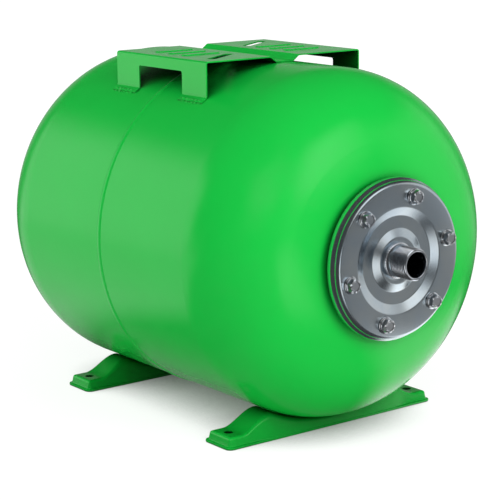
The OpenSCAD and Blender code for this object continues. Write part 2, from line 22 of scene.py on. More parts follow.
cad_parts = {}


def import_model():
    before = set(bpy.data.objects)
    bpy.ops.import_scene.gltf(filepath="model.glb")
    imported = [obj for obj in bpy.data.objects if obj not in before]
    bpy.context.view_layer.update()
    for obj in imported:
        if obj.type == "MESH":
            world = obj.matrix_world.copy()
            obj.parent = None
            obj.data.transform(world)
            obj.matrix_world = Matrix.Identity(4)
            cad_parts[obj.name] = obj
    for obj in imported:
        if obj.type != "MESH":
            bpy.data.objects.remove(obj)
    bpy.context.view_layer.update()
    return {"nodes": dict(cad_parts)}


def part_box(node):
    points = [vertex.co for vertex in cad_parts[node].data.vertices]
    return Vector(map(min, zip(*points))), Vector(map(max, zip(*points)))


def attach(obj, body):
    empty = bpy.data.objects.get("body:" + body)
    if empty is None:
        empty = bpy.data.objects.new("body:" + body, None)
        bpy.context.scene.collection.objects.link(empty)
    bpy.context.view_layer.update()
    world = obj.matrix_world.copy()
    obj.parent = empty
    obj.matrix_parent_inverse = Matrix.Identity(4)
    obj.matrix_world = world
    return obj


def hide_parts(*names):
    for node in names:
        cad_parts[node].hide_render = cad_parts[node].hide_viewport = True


LOG = logging.getLogger("pressure_tank")
MM = 0.001

Socket = bpy.types.NodeSocket
Node = bpy.types.Node
NodeTree = bpy.types.NodeTree
Material = bpy.types.Material
BlenderObject = bpy.types.Object
Skin = tuple[np.ndarray, np.ndarray]
Color = tuple[float, float, float, float]


class Slot(Enum):
    """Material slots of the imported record."""

    PAINT = "green_powder_coat"
    ZINC = "zinc_plate"
    BRASS = "brass"
    RUBBER = "rubber"
    PLASTIC = "black_plastic"


# Frame and mesh tools


@dataclass(frozen=True)
class TankFrame:
    """Places that every sub-assembly shares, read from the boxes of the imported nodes.

    Attributes:
        axis_z: Height of the tank's axis.
        radius: Outside radius of the tank.
        seam_x: Place of the girth seam along the axis.
        land_x: Place of the cover's bolt land along the axis.
        nipple_end: Place of the nipple's open end.
    """

    axis_z: float
    radius: float
    seam_x: float
    land_x: float
    nipple_end: float

    @classmethod
    def read(cls) -> TankFrame:
        """Reads the places.

        Returns:
            The shared places in metres.
        """
        low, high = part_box("front_shell")
        return cls(
            axis_z=(low.z + high.z) / 2,
            radius=(high.z - low.z) / 2,
            seam_x=low.x,
            land_x=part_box("cover_flange")[1].x,
            nipple_end=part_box("water_nipple")[1].x,
        )

    def skin(self, x: np.ndarray, r: np.ndarray, turn: np.ndarray) -> Skin:
        """Closed surface round the tank's axis: (x, r cos turn, axis height + r sin turn).

        Args:
            x: Places along the axis, a row for each ring.
            r: Distances from the axis, a row for each ring.
            turn: Angles round the axis as one row.

        Returns:
            Points and quads, the last ring joined to the first.
        """
        x, r, turn = np.broadcast_arrays(x, r, turn)
        points = np.stack([x, r * np.cos(turn), self.axis_z + r * np.sin(turn)], axis=-1)
        return points, grid_quads(*x.shape)


def full_turn(columns: int) -> np.ndarray:
    """Angles of one full turn as one row of so many columns."""
    return np.linspace(0, 2 * np.pi, columns, endpoint=False)[None, :]


def grid_quads(rows: int, columns: int, close_rows: bool = True) -> np.ndarray:
    """Corner numbers of the faces of a grid whose rows are closed rings.

    Args:
        rows: Number of rings.
        columns: Number of points in a ring.
        close_rows: Joins the last ring to the first.

    Returns:
        An integer array of quads: i, i + 1 along a ring, then the next ring back.
    """
    index = np.arange(rows * columns).reshape(rows, columns)
    if close_rows:
        index = np.concatenate([index, index[:1]], axis=0)
    index = np.concatenate([index, index[:, :1]], axis=1)
    corners = (index[:-1, :-1], index[:-1, 1:], index[1:, 1:], index[1:, :-1])
    return np.stack([c.ravel() for c in corners], axis=-1)


def spindle(
    centre: np.ndarray, r: np.ndarray, h: np.ndarray, ring: np.ndarray, upright: bool = False
) -> Skin:
    """Solid turned about a short axis through a centre, its two ends drawn in to points.

    Args:
        centre: The place from which heights are counted.
        r: Distances from the short axis, a row for each level.
        h: Heights of the levels.
        ring: Angles round the short axis as one row.
        upright: Turns it about Z, and otherwise about X.

    Returns:
        Points and quads.
    """
    r, h, ring = np.broadcast_arrays(r, h, ring)
    local = np.stack([h, r * np.cos(ring), r * np.sin(ring)], axis=-1)
    if upright:
        local = np.roll(local, -1, axis=-1)
    return local + centre, grid_quads(*r.shape, close_rows=False)


def weld_points(points: np.ndarray, quads: np.ndarray) -> tuple[np.ndarray, np.ndarray, np.ndarray]:
    """Joins points that share a place and turns the quads that lose a side into triangles.

    Args:
        points: All points.
        quads: Faces as corner numbers.

    Returns:
        The points left, the quads and the triangles.
    """
    keys = np.round(points / 2e-7).astype(np.int64)
    _, first, inverse = np.unique(keys, axis=0, return_index=True, return_inverse=True)
    quads = inverse.reshape(-1)[quads]
    same = quads == np.roll(quads, -1, axis=1)
    lost = same.sum(axis=1)
    tris = quads[lost == 1][~same[lost == 1]].reshape(-1, 3)
    return points[first], quads[lost == 0], tris


def signed_volume(points: np.ndarray, quads: np.ndarray, tris: np.ndarray) -> float:
    """Volume inside closed faces: a sixth of the sum of a . (b x c) over all triangles.

    Args:
        points: All points.
        quads: Four-sided faces.
        tris: Three-sided faces.

    Returns:
        The volume, negative where the faces point inwards.
    """
    fans = np.concatenate([quads[:, [0, 1, 2]], quads[:, [0, 2, 3]], tris])
    a, b, c = (points[fans[:, i]] for i in range(3))
    return float(np.einsum("ij,ij->i", a, np.cross(b, c)).sum() / 6)


def make_piece(name: str, patches: list[Skin], sharp: float = 35.0) -> BlenderObject:
    """Makes one mesh object of several closed surfaces, each turned so it points outwards.

    Args:
        name: The piece's name.
        patches: Pairs of points and quads, one for each closed surface.
        sharp: Edges that bend more than this many degrees stay sharp.

    Returns:
        The new object, at the origin, with its place in its mesh.
    """
    verts: list[np.ndarray] = []
    faces: list[list[int]] = []
    start = 0
    for points, quads in patches:
        points = points.reshape(-1, 3)
        centre = points.mean(axis=0)
        points, quads, tris = weld_points(points, quads)
        if signed_volume(points - centre, quads, tris) < 0:
            quads, tris = quads[:, ::-1], tris[:, ::-1]
        verts.append(points)
        faces += (quads + start).tolist() + (tris + start).tolist()
        start += len(points)
    mesh = bpy.data.meshes.new(name)
    mesh.from_pydata(np.concatenate(verts).tolist(), [], faces)
    mesh.validate()
    return finish_piece(bpy.data.objects.new(name, mesh), sharp)


def finish_piece(piece: BlenderObject, sharp: float) -> BlenderObject:
    """Links a piece to the scene and shades it smoothly between its sharp edges.

    Args:
        piece: The object.
        sharp: Edges that bend more than this many degrees stay sharp.

    Returns:
        The same object.
    """
    if piece.name not in bpy.context.scene.collection.objects:
        bpy.context.scene.collection.objects.link(piece)
    piece.data.shade_smooth()
    piece.data.set_sharp_from_angle(angle=math.radians(sharp))
    return piece


def applied(piece: BlenderObject) -> BlenderObject:
    """Gives a piece the mesh that its modifiers make and removes them.

    Args:
        piece: The object.

    Returns:
        The same object.
    """
    graph = bpy.context.evaluated_depsgraph_get()
    mesh = bpy.data.meshes.new_from_object(piece.evaluated_get(graph))
    piece.modifiers.clear()
    piece.data = mesh
    return piece


def drilled(piece: BlenderObject, drills: list[Skin], sharp: float) -> BlenderObject:
    """Cuts turned solids out of a piece.

    Args:
        piece: The piece that gets the holes.
        drills: Surfaces of the cutting solids.
        sharp: Edges that bend more than this many degrees stay sharp.

    Returns:
        The piece with its holes.
    """
    cutters = make_piece("drills", drills)
    tool = piece.modifiers.new("holes", "BOOLEAN")
    tool.operation = "DIFFERENCE"
    tool.solver = "EXACT"
    tool.object = cutters
    applied(piece)
    bpy.data.objects.remove(cutters)
    return finish_piece(piece, sharp)


def softened_copy(node: BlenderObject, name: str, width: float) -> BlenderObject:
    """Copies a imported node, joins its loose triangles and rounds its edges over 25 degrees.

    Args:
        node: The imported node.
        name: Name of the copy.
        width: Width of the rounding along each sharp edge.

    Returns:
        The new object.
    """
    bend = math.radians(25.0)
    form = bmesh.new()
    form.from_mesh(node.data)
    bmesh.ops.remove_doubles(form, verts=form.verts, dist=2e-6)
    bmesh.ops.dissolve_limit(form, angle_limit=math.radians(0.4), verts=form.verts, edges=form.edges)
    edges = [e for e in form.edges if len(e.link_faces) == 2 and e.calc_face_angle(0.0) > bend]
    shape = {"segments": 2, "profile": 0.5, "affect": "EDGES", "clamp_overlap": True}
    bmesh.ops.bevel(form, geom=edges, offset=width, **shape)
    mesh = bpy.data.meshes.new(name)
    form.to_mesh(mesh)
    form.free()
    piece = finish_piece(bpy.data.objects.new(name, mesh), 40.0)
    piece.modifiers.new("even_faces", "WEIGHTED_NORMAL").keep_sharp = True
    return applied(piece)


def rounded_path(corners: np.ndarray, radii: np.ndarray, steps: int) -> np.ndarray:
    """Rounds the inner corners of an open path with arcs that touch both sides.

    Each arc runs from corner - r tan(t/2) d0 to corner + r tan(t/2) d1, where t is the turn
    between the directions d0 and d1, about a centre at distance r from both sides.

    Args:
        corners: Points of the path.
        radii: One radius for each inner corner.
        steps: Number of steps in each arc.

    Returns:
        Points of the rounded path.
    """
    d = np.diff(corners, axis=0)
    d /= np.linalg.norm(d, axis=1)[:, None]
    turn = np.arctan2(d[:-1, 0] * d[1:, 1] - d[:-1, 1] * d[1:, 0], (d[:-1] * d[1:]).sum(axis=1))
    left = np.stack([-d[:-1, 1], d[:-1, 0]], axis=1)
    side = np.sign(turn)[:, None]
    back = d[:-1] * (radii * np.tan(np.abs(turn) / 2))[:, None]
    centre = corners[1:-1] - back + side * left * radii[:, None]
    out = -side * left
    angle = np.arctan2(out[:, 1], out[:, 0])[:, None] + turn[:, None] * np.linspace(0, 1, steps + 1)
    arcs = centre[:, None] + radii[:, None, None] * np.stack([np.cos(angle), np.sin(angle)], axis=-1)
    return np.concatenate([corners[:1], arcs.reshape(-1, 2), corners[-1:]])


def sheet_section(path: np.ndarray, thickness: float) -> np.ndarray:
    """Closed outline of a sheet about its middle line, each cut edge drawn as a flat oval.

    Args:
        path: Points of the middle line.
        thickness: Thickness of the sheet.

    Returns:
        Points of the outline in order.
    """
    tangent = np.gradient(path, axis=0)
    tangent /= np.linalg.norm(tangent, axis=1)[:, None]
    normal = np.stack([-tangent[:, 1], tangent[:, 0]], axis=1)
    half = thickness / 2
    inset = 0.3 * half
    body = path.copy()
    body[0] += inset * tangent[0]
    body[-1] -= inset * tangent[-1]
    lean = np.linspace(-0.5 * np.pi, 0.5 * np.pi, 7)[1:-1, None]
    end = body[-1] + inset * np.cos(lean) * tangent[-1] - half * np.sin(lean) * -normal[-1]
    begin = body[0] - inset * np.cos(lean) * tangent[0] - half * np.sin(lean) * normal[0]
    return np.concatenate([body - half * normal, end, (body + half * normal)[::-1], begin])


# Node tools


class Wiring:
    """Adds and joins nodes of one shader tree."""

    def __init__(self, tree: NodeTree) -> None:
        """Keeps the tree that the nodes go into."""
        self.tree = tree

    def feed(self, node: Node, inputs: dict[str | int, object]) -> None:
        """Joins or sets a node's inputs.

        Args:
            node: The node.
            inputs: Values or sockets by input name or number.
        """
        for key, value in inputs.items():
            if isinstance(value, Socket):
                self.tree.links.new(value, node.inputs[key])
            else:
                node.inputs[key].default_value = value

    def add(self, kind: str, inputs: dict[str | int, object] | None = None, **settings: object) -> Node:
        """Adds a node, applies its settings and feeds its inputs.

        Args:
            kind: Blender's name for the node's type.
            inputs: Values or sockets by input name or number.
            **settings: Attributes of the node.

        Returns:
            The node.
        """
        node = self.tree.nodes.new(kind)
        for key, value in settings.items():
            setattr(node, key, value)
        self.feed(node, inputs or {})
        return node

    def math(self, operation: str, a: object, b: object = 0.0) -> Socket:
        """Adds a Math node and gives its result."""
        return self.add("ShaderNodeMath", {0: a, 1: b}, operation=operation).outputs[0]

    def vector(self, operation: str, a: Socket, b: object = (0.0, 0.0, 0.0)) -> Socket:
        """Adds a Vector Math node and gives its vector, or its number for a product or a length."""
        node = self.add("ShaderNodeVectorMath", {0: a, 1: b}, operation=operation)
        return node.outputs["Value" if operation in ("DOT_PRODUCT", "LENGTH") else "Vector"]

    def noise(self, vector: Socket, scale: object, detail: float, rough: float = 0.5) -> Socket:
        """Adds a Noise Texture and gives its value."""
        inputs = {"Vector": vector, "Scale": scale, "Detail": detail, "Roughness": rough}
        return self.add("ShaderNodeTexNoise", inputs).outputs["Fac"]

    def span(
        self, value: Socket, low: object, high: object, to_low: object = 0.0, to_high: object = 1.0,
        step: str = "LINEAR",
    ) -> Socket:
        """Adds a Map Range node and gives its result."""
        inputs = {"Value": value, "From Min": low, "From Max": high, "To Min": to_low, "To Max": to_high}
        return self.add("ShaderNodeMapRange", inputs, interpolation_type=step).outputs["Result"]

    def choice(self, flag: Socket, off: object, on: object) -> Socket:
        """Gives one of two numbers by a flag of 0 or 1."""
        return self.span(flag, 0.0, 1.0, off, on)

    def blend(self, factor: Socket, a: object, b: object) -> Socket:
        """Adds a colour Mix node and gives its result."""
        return self.add("ShaderNodeMix", {0: factor, 6: a, 7: b}, data_type="RGBA").outputs[2]

    def open_air(self, distance: float) -> Socket:
        """Adds an Ambient Occlusion node and gives the open share within a distance."""
        return self.add("ShaderNodeAmbientOcclusion", {"Distance": distance}, samples=8).outputs["AO"]


class Group(Wiring):
    """Wiring of a new shader node group."""

    def __init__(self, name: str, **inputs: object) -> None:
        """Starts the group.

        Args:
            name: The group's name.
            **inputs: First value of each input, of one, three or four numbers.
        """
        super().__init__(bpy.data.node_groups.new(name, "ShaderNodeTree"))
        kinds = {1: "NodeSocketFloat", 3: "NodeSocketVector", 4: "NodeSocketColor"}
        for label, value in inputs.items():
            kind = kinds[np.size(value)]
            socket = self.tree.interface.new_socket(name=label, in_out="INPUT", socket_type=kind)
            socket.default_value = value
        self.given = self.add("NodeGroupInput").outputs

    def closed(self, **results: Socket) -> NodeTree:
        """Joins the results to the group's outputs.

        Args:
            **results: Sockets by output name.

        Returns:
            The group.
        """
        for label, value in results.items():
            kind = "NodeSocketColor" if value.type == "RGBA" else "NodeSocketFloat"
            self.tree.interface.new_socket(name=label, in_out="OUTPUT", socket_type=kind)
        self.add("NodeGroupOutput", results)
        return self.tree


def orange_peel() -> NodeTree:
    """Orange peel of a baked coat: a broad swell plus a fine ripple, in height.

    Returns:
        The node group.
    """
    g = Group("Orange peel", Vector=(0.0, 0.0, 0.0), Scale=700.0, Swell=0.5)
    fine = g.noise(g.given["Vector"], g.given["Scale"], 2.0, 0.45)
    broad = g.noise(g.given["Vector"], g.math("MULTIPLY", g.given["Scale"], 0.06), 2.0)
    swell = g.math("MULTIPLY", broad, g.given["Swell"])
    return g.closed(Height=g.math("ADD", fine, swell), Gloss=broad)


def tone_drift() -> NodeTree:
    """Slow drift of a colour towards a second one over the surface.

    Returns:
        The node group.
    """
    base, other = (0.5, 0.5, 0.5, 1.0), (0.4, 0.4, 0.4, 1.0)
    g = Group("Tone drift", Vector=(0.0, 0.0, 0.0), Scale=8.0, Amount=0.3, Base=base, Other=other)
    mask = g.span(g.noise(g.given["Vector"], g.given["Scale"], 4.0, 0.55), 0.35, 0.65)
    share = g.math("MULTIPLY", mask, g.given["Amount"])
    return g.closed(Color=g.blend(share, g.given["Base"], g.given["Other"]), Mask=mask)


def rolled_lines() -> NodeTree:
    """Fine lines of rolled sheet: noise drawn out along one direction.

    Returns:
        The node group.
    """
    g = Group("Rolled lines", Vector=(0.0, 0.0, 0.0), Scale=900.0, Stretch=(1.0, 1.0, 0.06))
    lines = g.noise(g.vector("MULTIPLY", g.given["Vector"], g.given["Stretch"]), g.given["Scale"], 4.0, 0.6)
    cloud = g.noise(g.given["Vector"], g.math("MULTIPLY", g.given["Scale"], 0.05), 3.0)
    return g.closed(Height=lines, Lines=g.math("MULTIPLY", lines, cloud))


def small_specks() -> NodeTree:
    """Scattered small specks: cells of a Voronoi pattern nearer than a given size.

    Returns:
        The node group.
    """
    g = Group("Specks", Vector=(0.0, 0.0, 0.0), Scale=400.0, Size=0.16)
    cells = g.add("ShaderNodeTexVoronoi", {"Vector": g.given["Vector"], "Scale": g.given["Scale"]})
    edge = g.math("MULTIPLY", g.given["Size"], 1.4)
    return g.closed(Mask=g.span(cells.outputs["Distance"], g.given["Size"], edge, 1.0, 0.0))


class Surface(Wiring):
    """Wiring of one material: a Principled BSDF with Object coordinates and the shared groups."""

    def __init__(self, name: str, effects: dict[str, NodeTree]) -> None:
        """Starts the material.

        Args:
            name: The material's name.
            effects: Shared node groups by short name.
        """
        self.material = bpy.data.materials.new(name)
        self.material.use_nodes = True
        self.material.node_tree.nodes.clear()
        super().__init__(self.material.node_tree)
        self.effects = effects
        self.shader = self.add("ShaderNodeBsdfPrincipled")
        self.add("ShaderNodeOutputMaterial", {"Surface": self.shader.outputs["BSDF"]})
        self.place = self.add("ShaderNodeTexCoord").outputs["Object"]

    def effect(self, name: str, **inputs: object) -> bpy.types.NodeOutputs:
        """Places a shared group in the material and gives its outputs.

        Args:
            name: The group's short name.
            **inputs: Values or sockets by input name.

        Returns:
            The group node's outputs.
        """
        group = self.effects[name]
        return self.add("ShaderNodeGroup", {"Vector": self.place, **inputs}, node_tree=group).outputs

    def finished(self, height: Socket, depth: float, strength: float, inputs: dict[str, object]) -> Material:
        """Feeds the shader and its bump.

        Args:
            height: Height of the relief from 0 to 1.
            depth: Real depth in metres at a height of 1.
            strength: Strength of the relief.
            inputs: Values or sockets for the shader by input name.

        Returns:
            The material.
        """
        bump = self.add("ShaderNodeBump", {"Height": height, "Distance": depth, "Strength": strength})
        self.feed(self.shader, {**inputs, "Normal": bump.outputs["Normal"]})
        return self.material


# Finishes


@dataclass(frozen=True)
class PowderCoat:
    """Glossy baked powder coat with fine orange peel, with painted shade in closed-in corners.

    Attributes:
        name: Name of the material.
        corner: Reach of the painted shade.
        free_below: Height under which corners get no painted shade, as the bright floor lights them.
        color: Colour of the coat.
        deep: Colour where the coat lies thicker.
        dark: Colour of the painted shade deep in a corner.
        roughness: Middle of the gloss range.
        peel_scale: Ripples of the peel for each metre, as a noise scale.
        peel_depth: Depth of the peel in metres.
    """

    name: str
    corner: float
    free_below: float
    color: Color = (0.007, 0.560, 0.058, 1.0)
    deep: Color = (0.006, 0.520, 0.052, 1.0)
    dark: Color = (0.0, 0.004, 0.0, 1.0)
    roughness: float = 0.20
    peel_scale: float = 900.0
    peel_depth: float = 0.00003

    def material(self, effects: dict[str, NodeTree]) -> Material:
        """Builds the material.

        Args:
            effects: Shared node groups by short name.

        Returns:
            The material.
        """
        s = Surface(self.name, effects)
        tone = s.effect("drift", Scale=9.0, Amount=0.45, Base=self.color, Other=self.deep)
        peel = s.effect("peel", Scale=self.peel_scale, Swell=0.7)
        gloss = s.span(peel["Gloss"], 0.3, 0.7, self.roughness - 0.03, self.roughness + 0.04)
        # Painted shade: ambient occlusion blends the coat towards dark and lowers its specular level in
        # corners, except below the height free_below.
        air = s.open_air(self.corner)
        height = s.add("ShaderNodeSeparateXYZ", {0: s.place}).outputs["Z"]
        lit = s.span(height, self.free_below, self.free_below + 0.08, 1.0, 0.0)
        painted_shade = s.math("MAXIMUM", s.span(air, 0.12, 0.82, 0.10, 1.0), lit)
        return s.finished(peel["Height"], self.peel_depth, 0.5, {
            "Base Color": s.blend(painted_shade, self.dark, tone["Color"]),
            "Roughness": gloss,
            "Specular IOR Level": s.span(air, 0.1, 0.6, 0.05, 0.5),
            "IOR": 1.5,
        })


@dataclass(frozen=True)
class ZincPlate:
    """Bright zinc plating on rolled or turned steel, with specks and painted shade in its grooves.

    Attributes:
        name: Name of the material.
        color: Colour of the plating.
        tint: Bluish colour that the passivated film drifts to.
        speck: Colour of the dull specks.
        dark: Colour of the painted shade deep in a groove.
        rough: Roughness of the brightest and the dullest parts.
        groove: Reach of the painted shade in grooves.
        line_scale: Fineness of the sheet's lines.
        stretch: How the lines are drawn out along X, Y and Z.
        line_depth: Depth of the lines in metres.
    """

    name: str = "Bright zinc plate"
    color: Color = (0.80, 0.89, 0.93, 1.0)
    tint: Color = (0.62, 0.76, 0.90, 1.0)
    speck: Color = (0.30, 0.34, 0.38, 1.0)
    dark: Color = (0.02, 0.02, 0.02, 1.0)
    rough: tuple[float, float] = (0.21, 0.27)
    groove: float = 0.009
    line_scale: float = 1100.0
    stretch: tuple[float, float, float] = (1.0, 1.0, 0.05)
    line_depth: float = 0.000005

    def material(self, effects: dict[str, NodeTree]) -> Material:
        """Builds the material.

        Args:
            effects: Shared node groups by short name.

        Returns:
            The material.
        """
        s = Surface(self.name, effects)
        tone = s.effect("drift", Scale=28.0, Amount=0.55, Base=self.color, Other=self.tint)
        lines = s.effect("rolled", Scale=self.line_scale, Stretch=self.stretch)
        dull = s.math("MULTIPLY", s.effect("specks", Scale=310.0, Size=0.10)["Mask"], 0.15)
        color = s.blend(dull, tone["Color"], self.speck)
        # Painted shade: ambient occlusion blends the plating towards dark in grooves.
        painted_shade = s.span(s.open_air(self.groove), 0.25, 0.70, 0.08, 1.0)
        return s.finished(lines["Height"], self.line_depth, 0.6, {
            "Base Color": s.blend(painted_shade, self.dark, color),
            "Roughness": s.span(lines["Lines"], 0.12, 0.42, *self.rough),
            "Metallic": 1.0,
        })


@dataclass(frozen=True)
class TurnedBrass:
    """Machined brass with fine tool lines."""

    color: Color = (0.78, 0.56, 0.22, 1.0)
    dark: Color = (0.50, 0.33, 0.12, 1.0)

    def material(self, effects: dict[str, NodeTree]) -> Material:
        """Builds the material.

        Args:
            effects: Shared node groups by short name.

        Returns:
            The material.
        """
        s = Surface("Turned brass", effects)
        tone = s.effect("drift", Scale=160.0, Amount=0.5, Base=self.color, Other=self.dark)
        lines = s.effect("rolled", Scale=2600.0, Stretch=(1.0, 0.05, 0.05))
        return s.finished(lines["Height"], 0.00002, 0.6, {
            "Base Color": tone["Color"],
            "Roughness": s.span(lines["Lines"], 0.1, 0.45, 0.22, 0.38),
            "Metallic": 1.0,
        })


@dataclass(frozen=True)
class Moulding:
    """Moulded rubber or plastic with a fine grain and a paler bloom.

    Attributes:
        name: Name of the material.
        color: Colour of the mass.
        bloom: Paler colour that it drifts to.
        drift: Scale and amount of the drift.
        grain: Scale and swell of the grain.
        rough: Lowest and highest roughness.
        relief: Depth of the grain in metres and its strength.
    """

    name: str
    color: Color
    bloom: Color
    drift: tuple[float, float]
    grain: tuple[float, float]
    rough: tuple[float, float]
    relief: tuple[float, float]

    def material(self, effects: dict[str, NodeTree]) -> Material:
        """Builds the material.

        Args:
            effects: Shared node groups by short name.

        Returns:
            The material.
        """
        s = Surface(self.name, effects)
        scale, amount = self.drift
        tone = s.effect("drift", Scale=scale, Amount=amount, Base=self.color, Other=self.bloom)
        peel = s.effect("peel", Scale=self.grain[0], Swell=self.grain[1])
        rough = s.span(peel["Gloss"], 0.3, 0.7, *self.rough)
        return s.finished(peel["Height"], *self.relief, {"Base Color": tone["Color"], "Roughness": rough})


@dataclass
class Finishes:
    """All finished materials.

    Attributes:
        by_slot: The finish of each slot of the record.
        shell_paint: The powder coat on the shells, whose underside the floor lights, so it has no painted
            corner shade low down.
        turned_zinc: Plated turned steel, for the nipple and bolts.
    """

    by_slot: dict[Slot, Material]
    shell_paint: Material
    turned_zinc: Material

    @classmethod
    def build(cls) -> Finishes:
        """Builds the shared node groups and then every finish.

        Returns:
            The finishes.
        """
        effects = {
            "peel": orange_peel(),
            "drift": tone_drift(),
            "rolled": rolled_lines(),
            "specks": small_specks(),
        }
        rubber = Moulding(
            "Moulded rubber", (0.018, 0.018, 0.019, 1.0), (0.055, 0.054, 0.050, 1.0),
            drift=(70.0, 0.6), grain=(1500.0, 0.4), rough=(0.55, 0.75), relief=(0.00006, 0.7),
        )
        plastic = Moulding(
            "Black moulded plastic", (0.014, 0.014, 0.015, 1.0), (0.050, 0.050, 0.052, 1.0),
            drift=(110.0, 0.35), grain=(2400.0, 0.3), rough=(0.38, 0.50), relief=(0.00005, 0.6),
        )
        turned = ZincPlate(
            "Bright zinc on turned steel", (0.94, 0.97, 0.99, 1.0), (0.72, 0.82, 0.96, 1.0),
            rough=(0.11, 0.20), groove=0.004,
            line_scale=1900.0, stretch=(1.0, 0.12, 0.12), line_depth=0.00001,
        )
        looks = {
            Slot.PAINT: PowderCoat("Green powder coat", corner=0.09, free_below=-1.0),
            Slot.ZINC: ZincPlate(),
            Slot.BRASS: TurnedBrass(),
            Slot.RUBBER: rubber,
            Slot.PLASTIC: plastic,
        }
        shell = PowderCoat("Green powder coat on shells", corner=0.07, free_below=0.12)
        by_slot = {slot: look.material(effects) for slot, look in looks.items()}
        return cls(by_slot, shell.material(effects), turned.material(effects))


@dataclass
class Assembly:
    """One sub-assembly of new pieces and dressed nodes.

    Attributes:
        place: Shared places.
        nodes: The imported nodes.
        finishes: All finishes.
    """

    place: TankFrame
    nodes: dict[str, BlenderObject]
    finishes: Finishes

    def dress(self, piece: BlenderObject, material: Material) -> None:
        """Gives a piece one material in its only slot and reports it.

        Args:
            piece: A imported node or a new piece.
            material: Its finish.
        """
        piece.data.materials.clear()
        piece.data.materials.append(material)
        LOG.info("%s: %s on %d faces", piece.name, material.name, len(piece.data.polygons))

    def add(self, piece: BlenderObject, slot: Slot, *nodes: str, finish: Material | None = None) -> None:
        """Dresses a new piece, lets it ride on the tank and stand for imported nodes.

        Args:
            piece: The new object.
            slot: The record's slot for its finish.
            *nodes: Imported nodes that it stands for.
            finish: Its finish, where that isn't the slot's own.
        """
        self.dress(piece, finish or self.finishes.by_slot[slot])
        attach(piece, "root")
        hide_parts(*nodes)


# Sub-assemblies


@dataclass
class TankBody(Assembly):
    """The two drawn shells and the weld bead round the girth seam."""

    bead_mid: float = 2.0 * MM
    bead_half: float = 3.5 * MM
    bead_height: float = 1.08 * MM
    ripple: float = 0.16 * MM
    ripple_pitch: float = 2.9 * MM

    def build(self) -> None:
        """Dresses the shells and lays the rippled bead."""
        paint = self.finishes.shell_paint
        for name in ("front_shell", "rear_shell"):
            self.dress(self.nodes[name], paint)
        self.add(make_piece("girth_bead", [self.bead()], 60), Slot.PAINT, "girth_weld", finish=paint)

    def bead(self) -> Skin:
        """Surface of the weld bead.

        Height over the shell is h (1 - v^2) for v from -1 to 1 across the bead, plus
        crescents a (1 - v^2) |sin(pi s / p + 0.9 v^2)| along the seam, where s is the length
        along it. The width wanders a little, and a flat underside closes the ring.

        Returns:
            Points and quads.
        """
        turn = full_turn(3072)
        v = np.linspace(-1, 1, 9)[:, None]
        count = round(2 * np.pi * self.place.radius / self.ripple_pitch)
        wander = 0.05 * np.sin(7 * turn + 1) + 0.04 * np.sin(23 * turn) + 0.03 * np.sin(61 * turn + 2)
        crown = 1 - v * v
        crescent = np.abs(np.sin(0.5 * count * turn + 0.9 * v * v))
        height = (self.bead_height - self.ripple) * crown * (1 + wander) * 0.94
        height = height + self.ripple * crown * crescent
        x = self.place.seam_x - self.bead_mid + self.bead_half * v * (1 + wander)
        under = np.full_like(height, -0.25 * MM)
        r = self.place.radius + np.concatenate([height, under])
        return self.place.skin(np.concatenate([x, x[::-1]]), r, turn)


@dataclass
class PumpBracket(Assembly):
    """The bent pump bracket and the short welds along its toes."""

    toe_out: float = 3.5 * MM
    leg_y: float = 104.25 * MM
    leg_mid: float = 62.25 * MM
    leg_w: float = 43.5 * MM
    weld_leg: float = 1.9 * MM
    rib_h: float = 1.6 * MM
    edge: float = 0.3 * MM

    def build(self) -> None:
        """Makes the softened bracket and its welds."""
        bracket = softened_copy(self.nodes["pump_bracket"], "bent_bracket", self.edge)
        self.ease_ribs(bracket)
        self.add(bracket, Slot.PAINT, "pump_bracket")
        welds = [self.toe_weld(end, side) for end in (-1, 1) for side in (-1, 1)]
        self.add(make_piece("toe_beads", welds, 60), Slot.PAINT, "bracket_welds")

    def ease_ribs(self, bracket: BlenderObject) -> None:
        """Presses the ribs flatter: points above the plates keep 0.6 of their height over them.

        Args:
            bracket: The bracket.
        """
        place = np.empty(3 * len(bracket.data.vertices))
        bracket.data.vertices.foreach_get("co", place)
        place = place.reshape(-1, 3)
        plate = place[:, 2].max() - self.rib_h
        place[:, 2] = np.where(place[:, 2] > plate, plate + 0.6 * (place[:, 2] - plate), place[:, 2])
        bracket.data.vertices.foreach_set("co", place.ravel())
        bracket.data.update()

    def toe_weld(self, end: int, side: int) -> Skin:
        """One fillet weld along a toe's outer edge.

        Across the bead the points run from the toe's upper edge to the tank: with t from 0
        to 1, height (1 - sin(pi t / 2)) and reach (1 - cos(pi t / 2)) of the leg length,
        swollen by lumps that are a sum of sines along the toe. The ends taper to nothing.

        Args:
            end: -1 or 1 for the rear or front legs.
            side: -1 or 1 for the near or far side.

        Returns:
            Points and quads.
        """
        rows, columns = 120, 9
        s = np.linspace(-1, 1, rows)[:, None]
        t = np.linspace(0, 1, columns)[None, :]
        phase = 1.7 * end + 2.3 * side
        lumps = 1 + 0.26 * np.sin(17 * s + phase) + 0.22 * np.sin(39 * s + 2 * phase) + 0.12 * np.sin(83 * s)
        leg = self.weld_leg * lumps * np.sqrt(np.clip(1 - np.abs(s) ** 6, 0, 1))
        toe = math.asin((self.leg_y + self.toe_out) / self.place.radius)
        reach = leg * (1 - np.cos(0.5 * np.pi * t)) * 1.9 - 2.4 * MM
        height = (0.8 * MM + leg) * (1 - np.sin(0.5 * np.pi * t)) + 0.35 * leg * np.sin(np.pi * t)
        lean = toe + (self.toe_out + reach) / self.place.radius
        x = self.place.seam_x + end * self.leg_mid + 0.5 * (self.leg_w - 4 * MM) * s + 0 * lean
        top, under = (
            np.stack([x, side * r * np.sin(lean), self.place.axis_z + r * np.cos(lean)], axis=-1)
            for r in (self.place.radius + height, self.place.radius - 0.2 * MM)
        )
        loop = np.concatenate([top, under[:, ::-1]], axis=1)
        caps = [loop[i].mean(axis=0) * np.ones_like(loop[:1]) for i in (0, -1)]
        return np.concatenate([caps[0], loop, caps[1]]), grid_quads(rows + 2, 2 * columns, False)


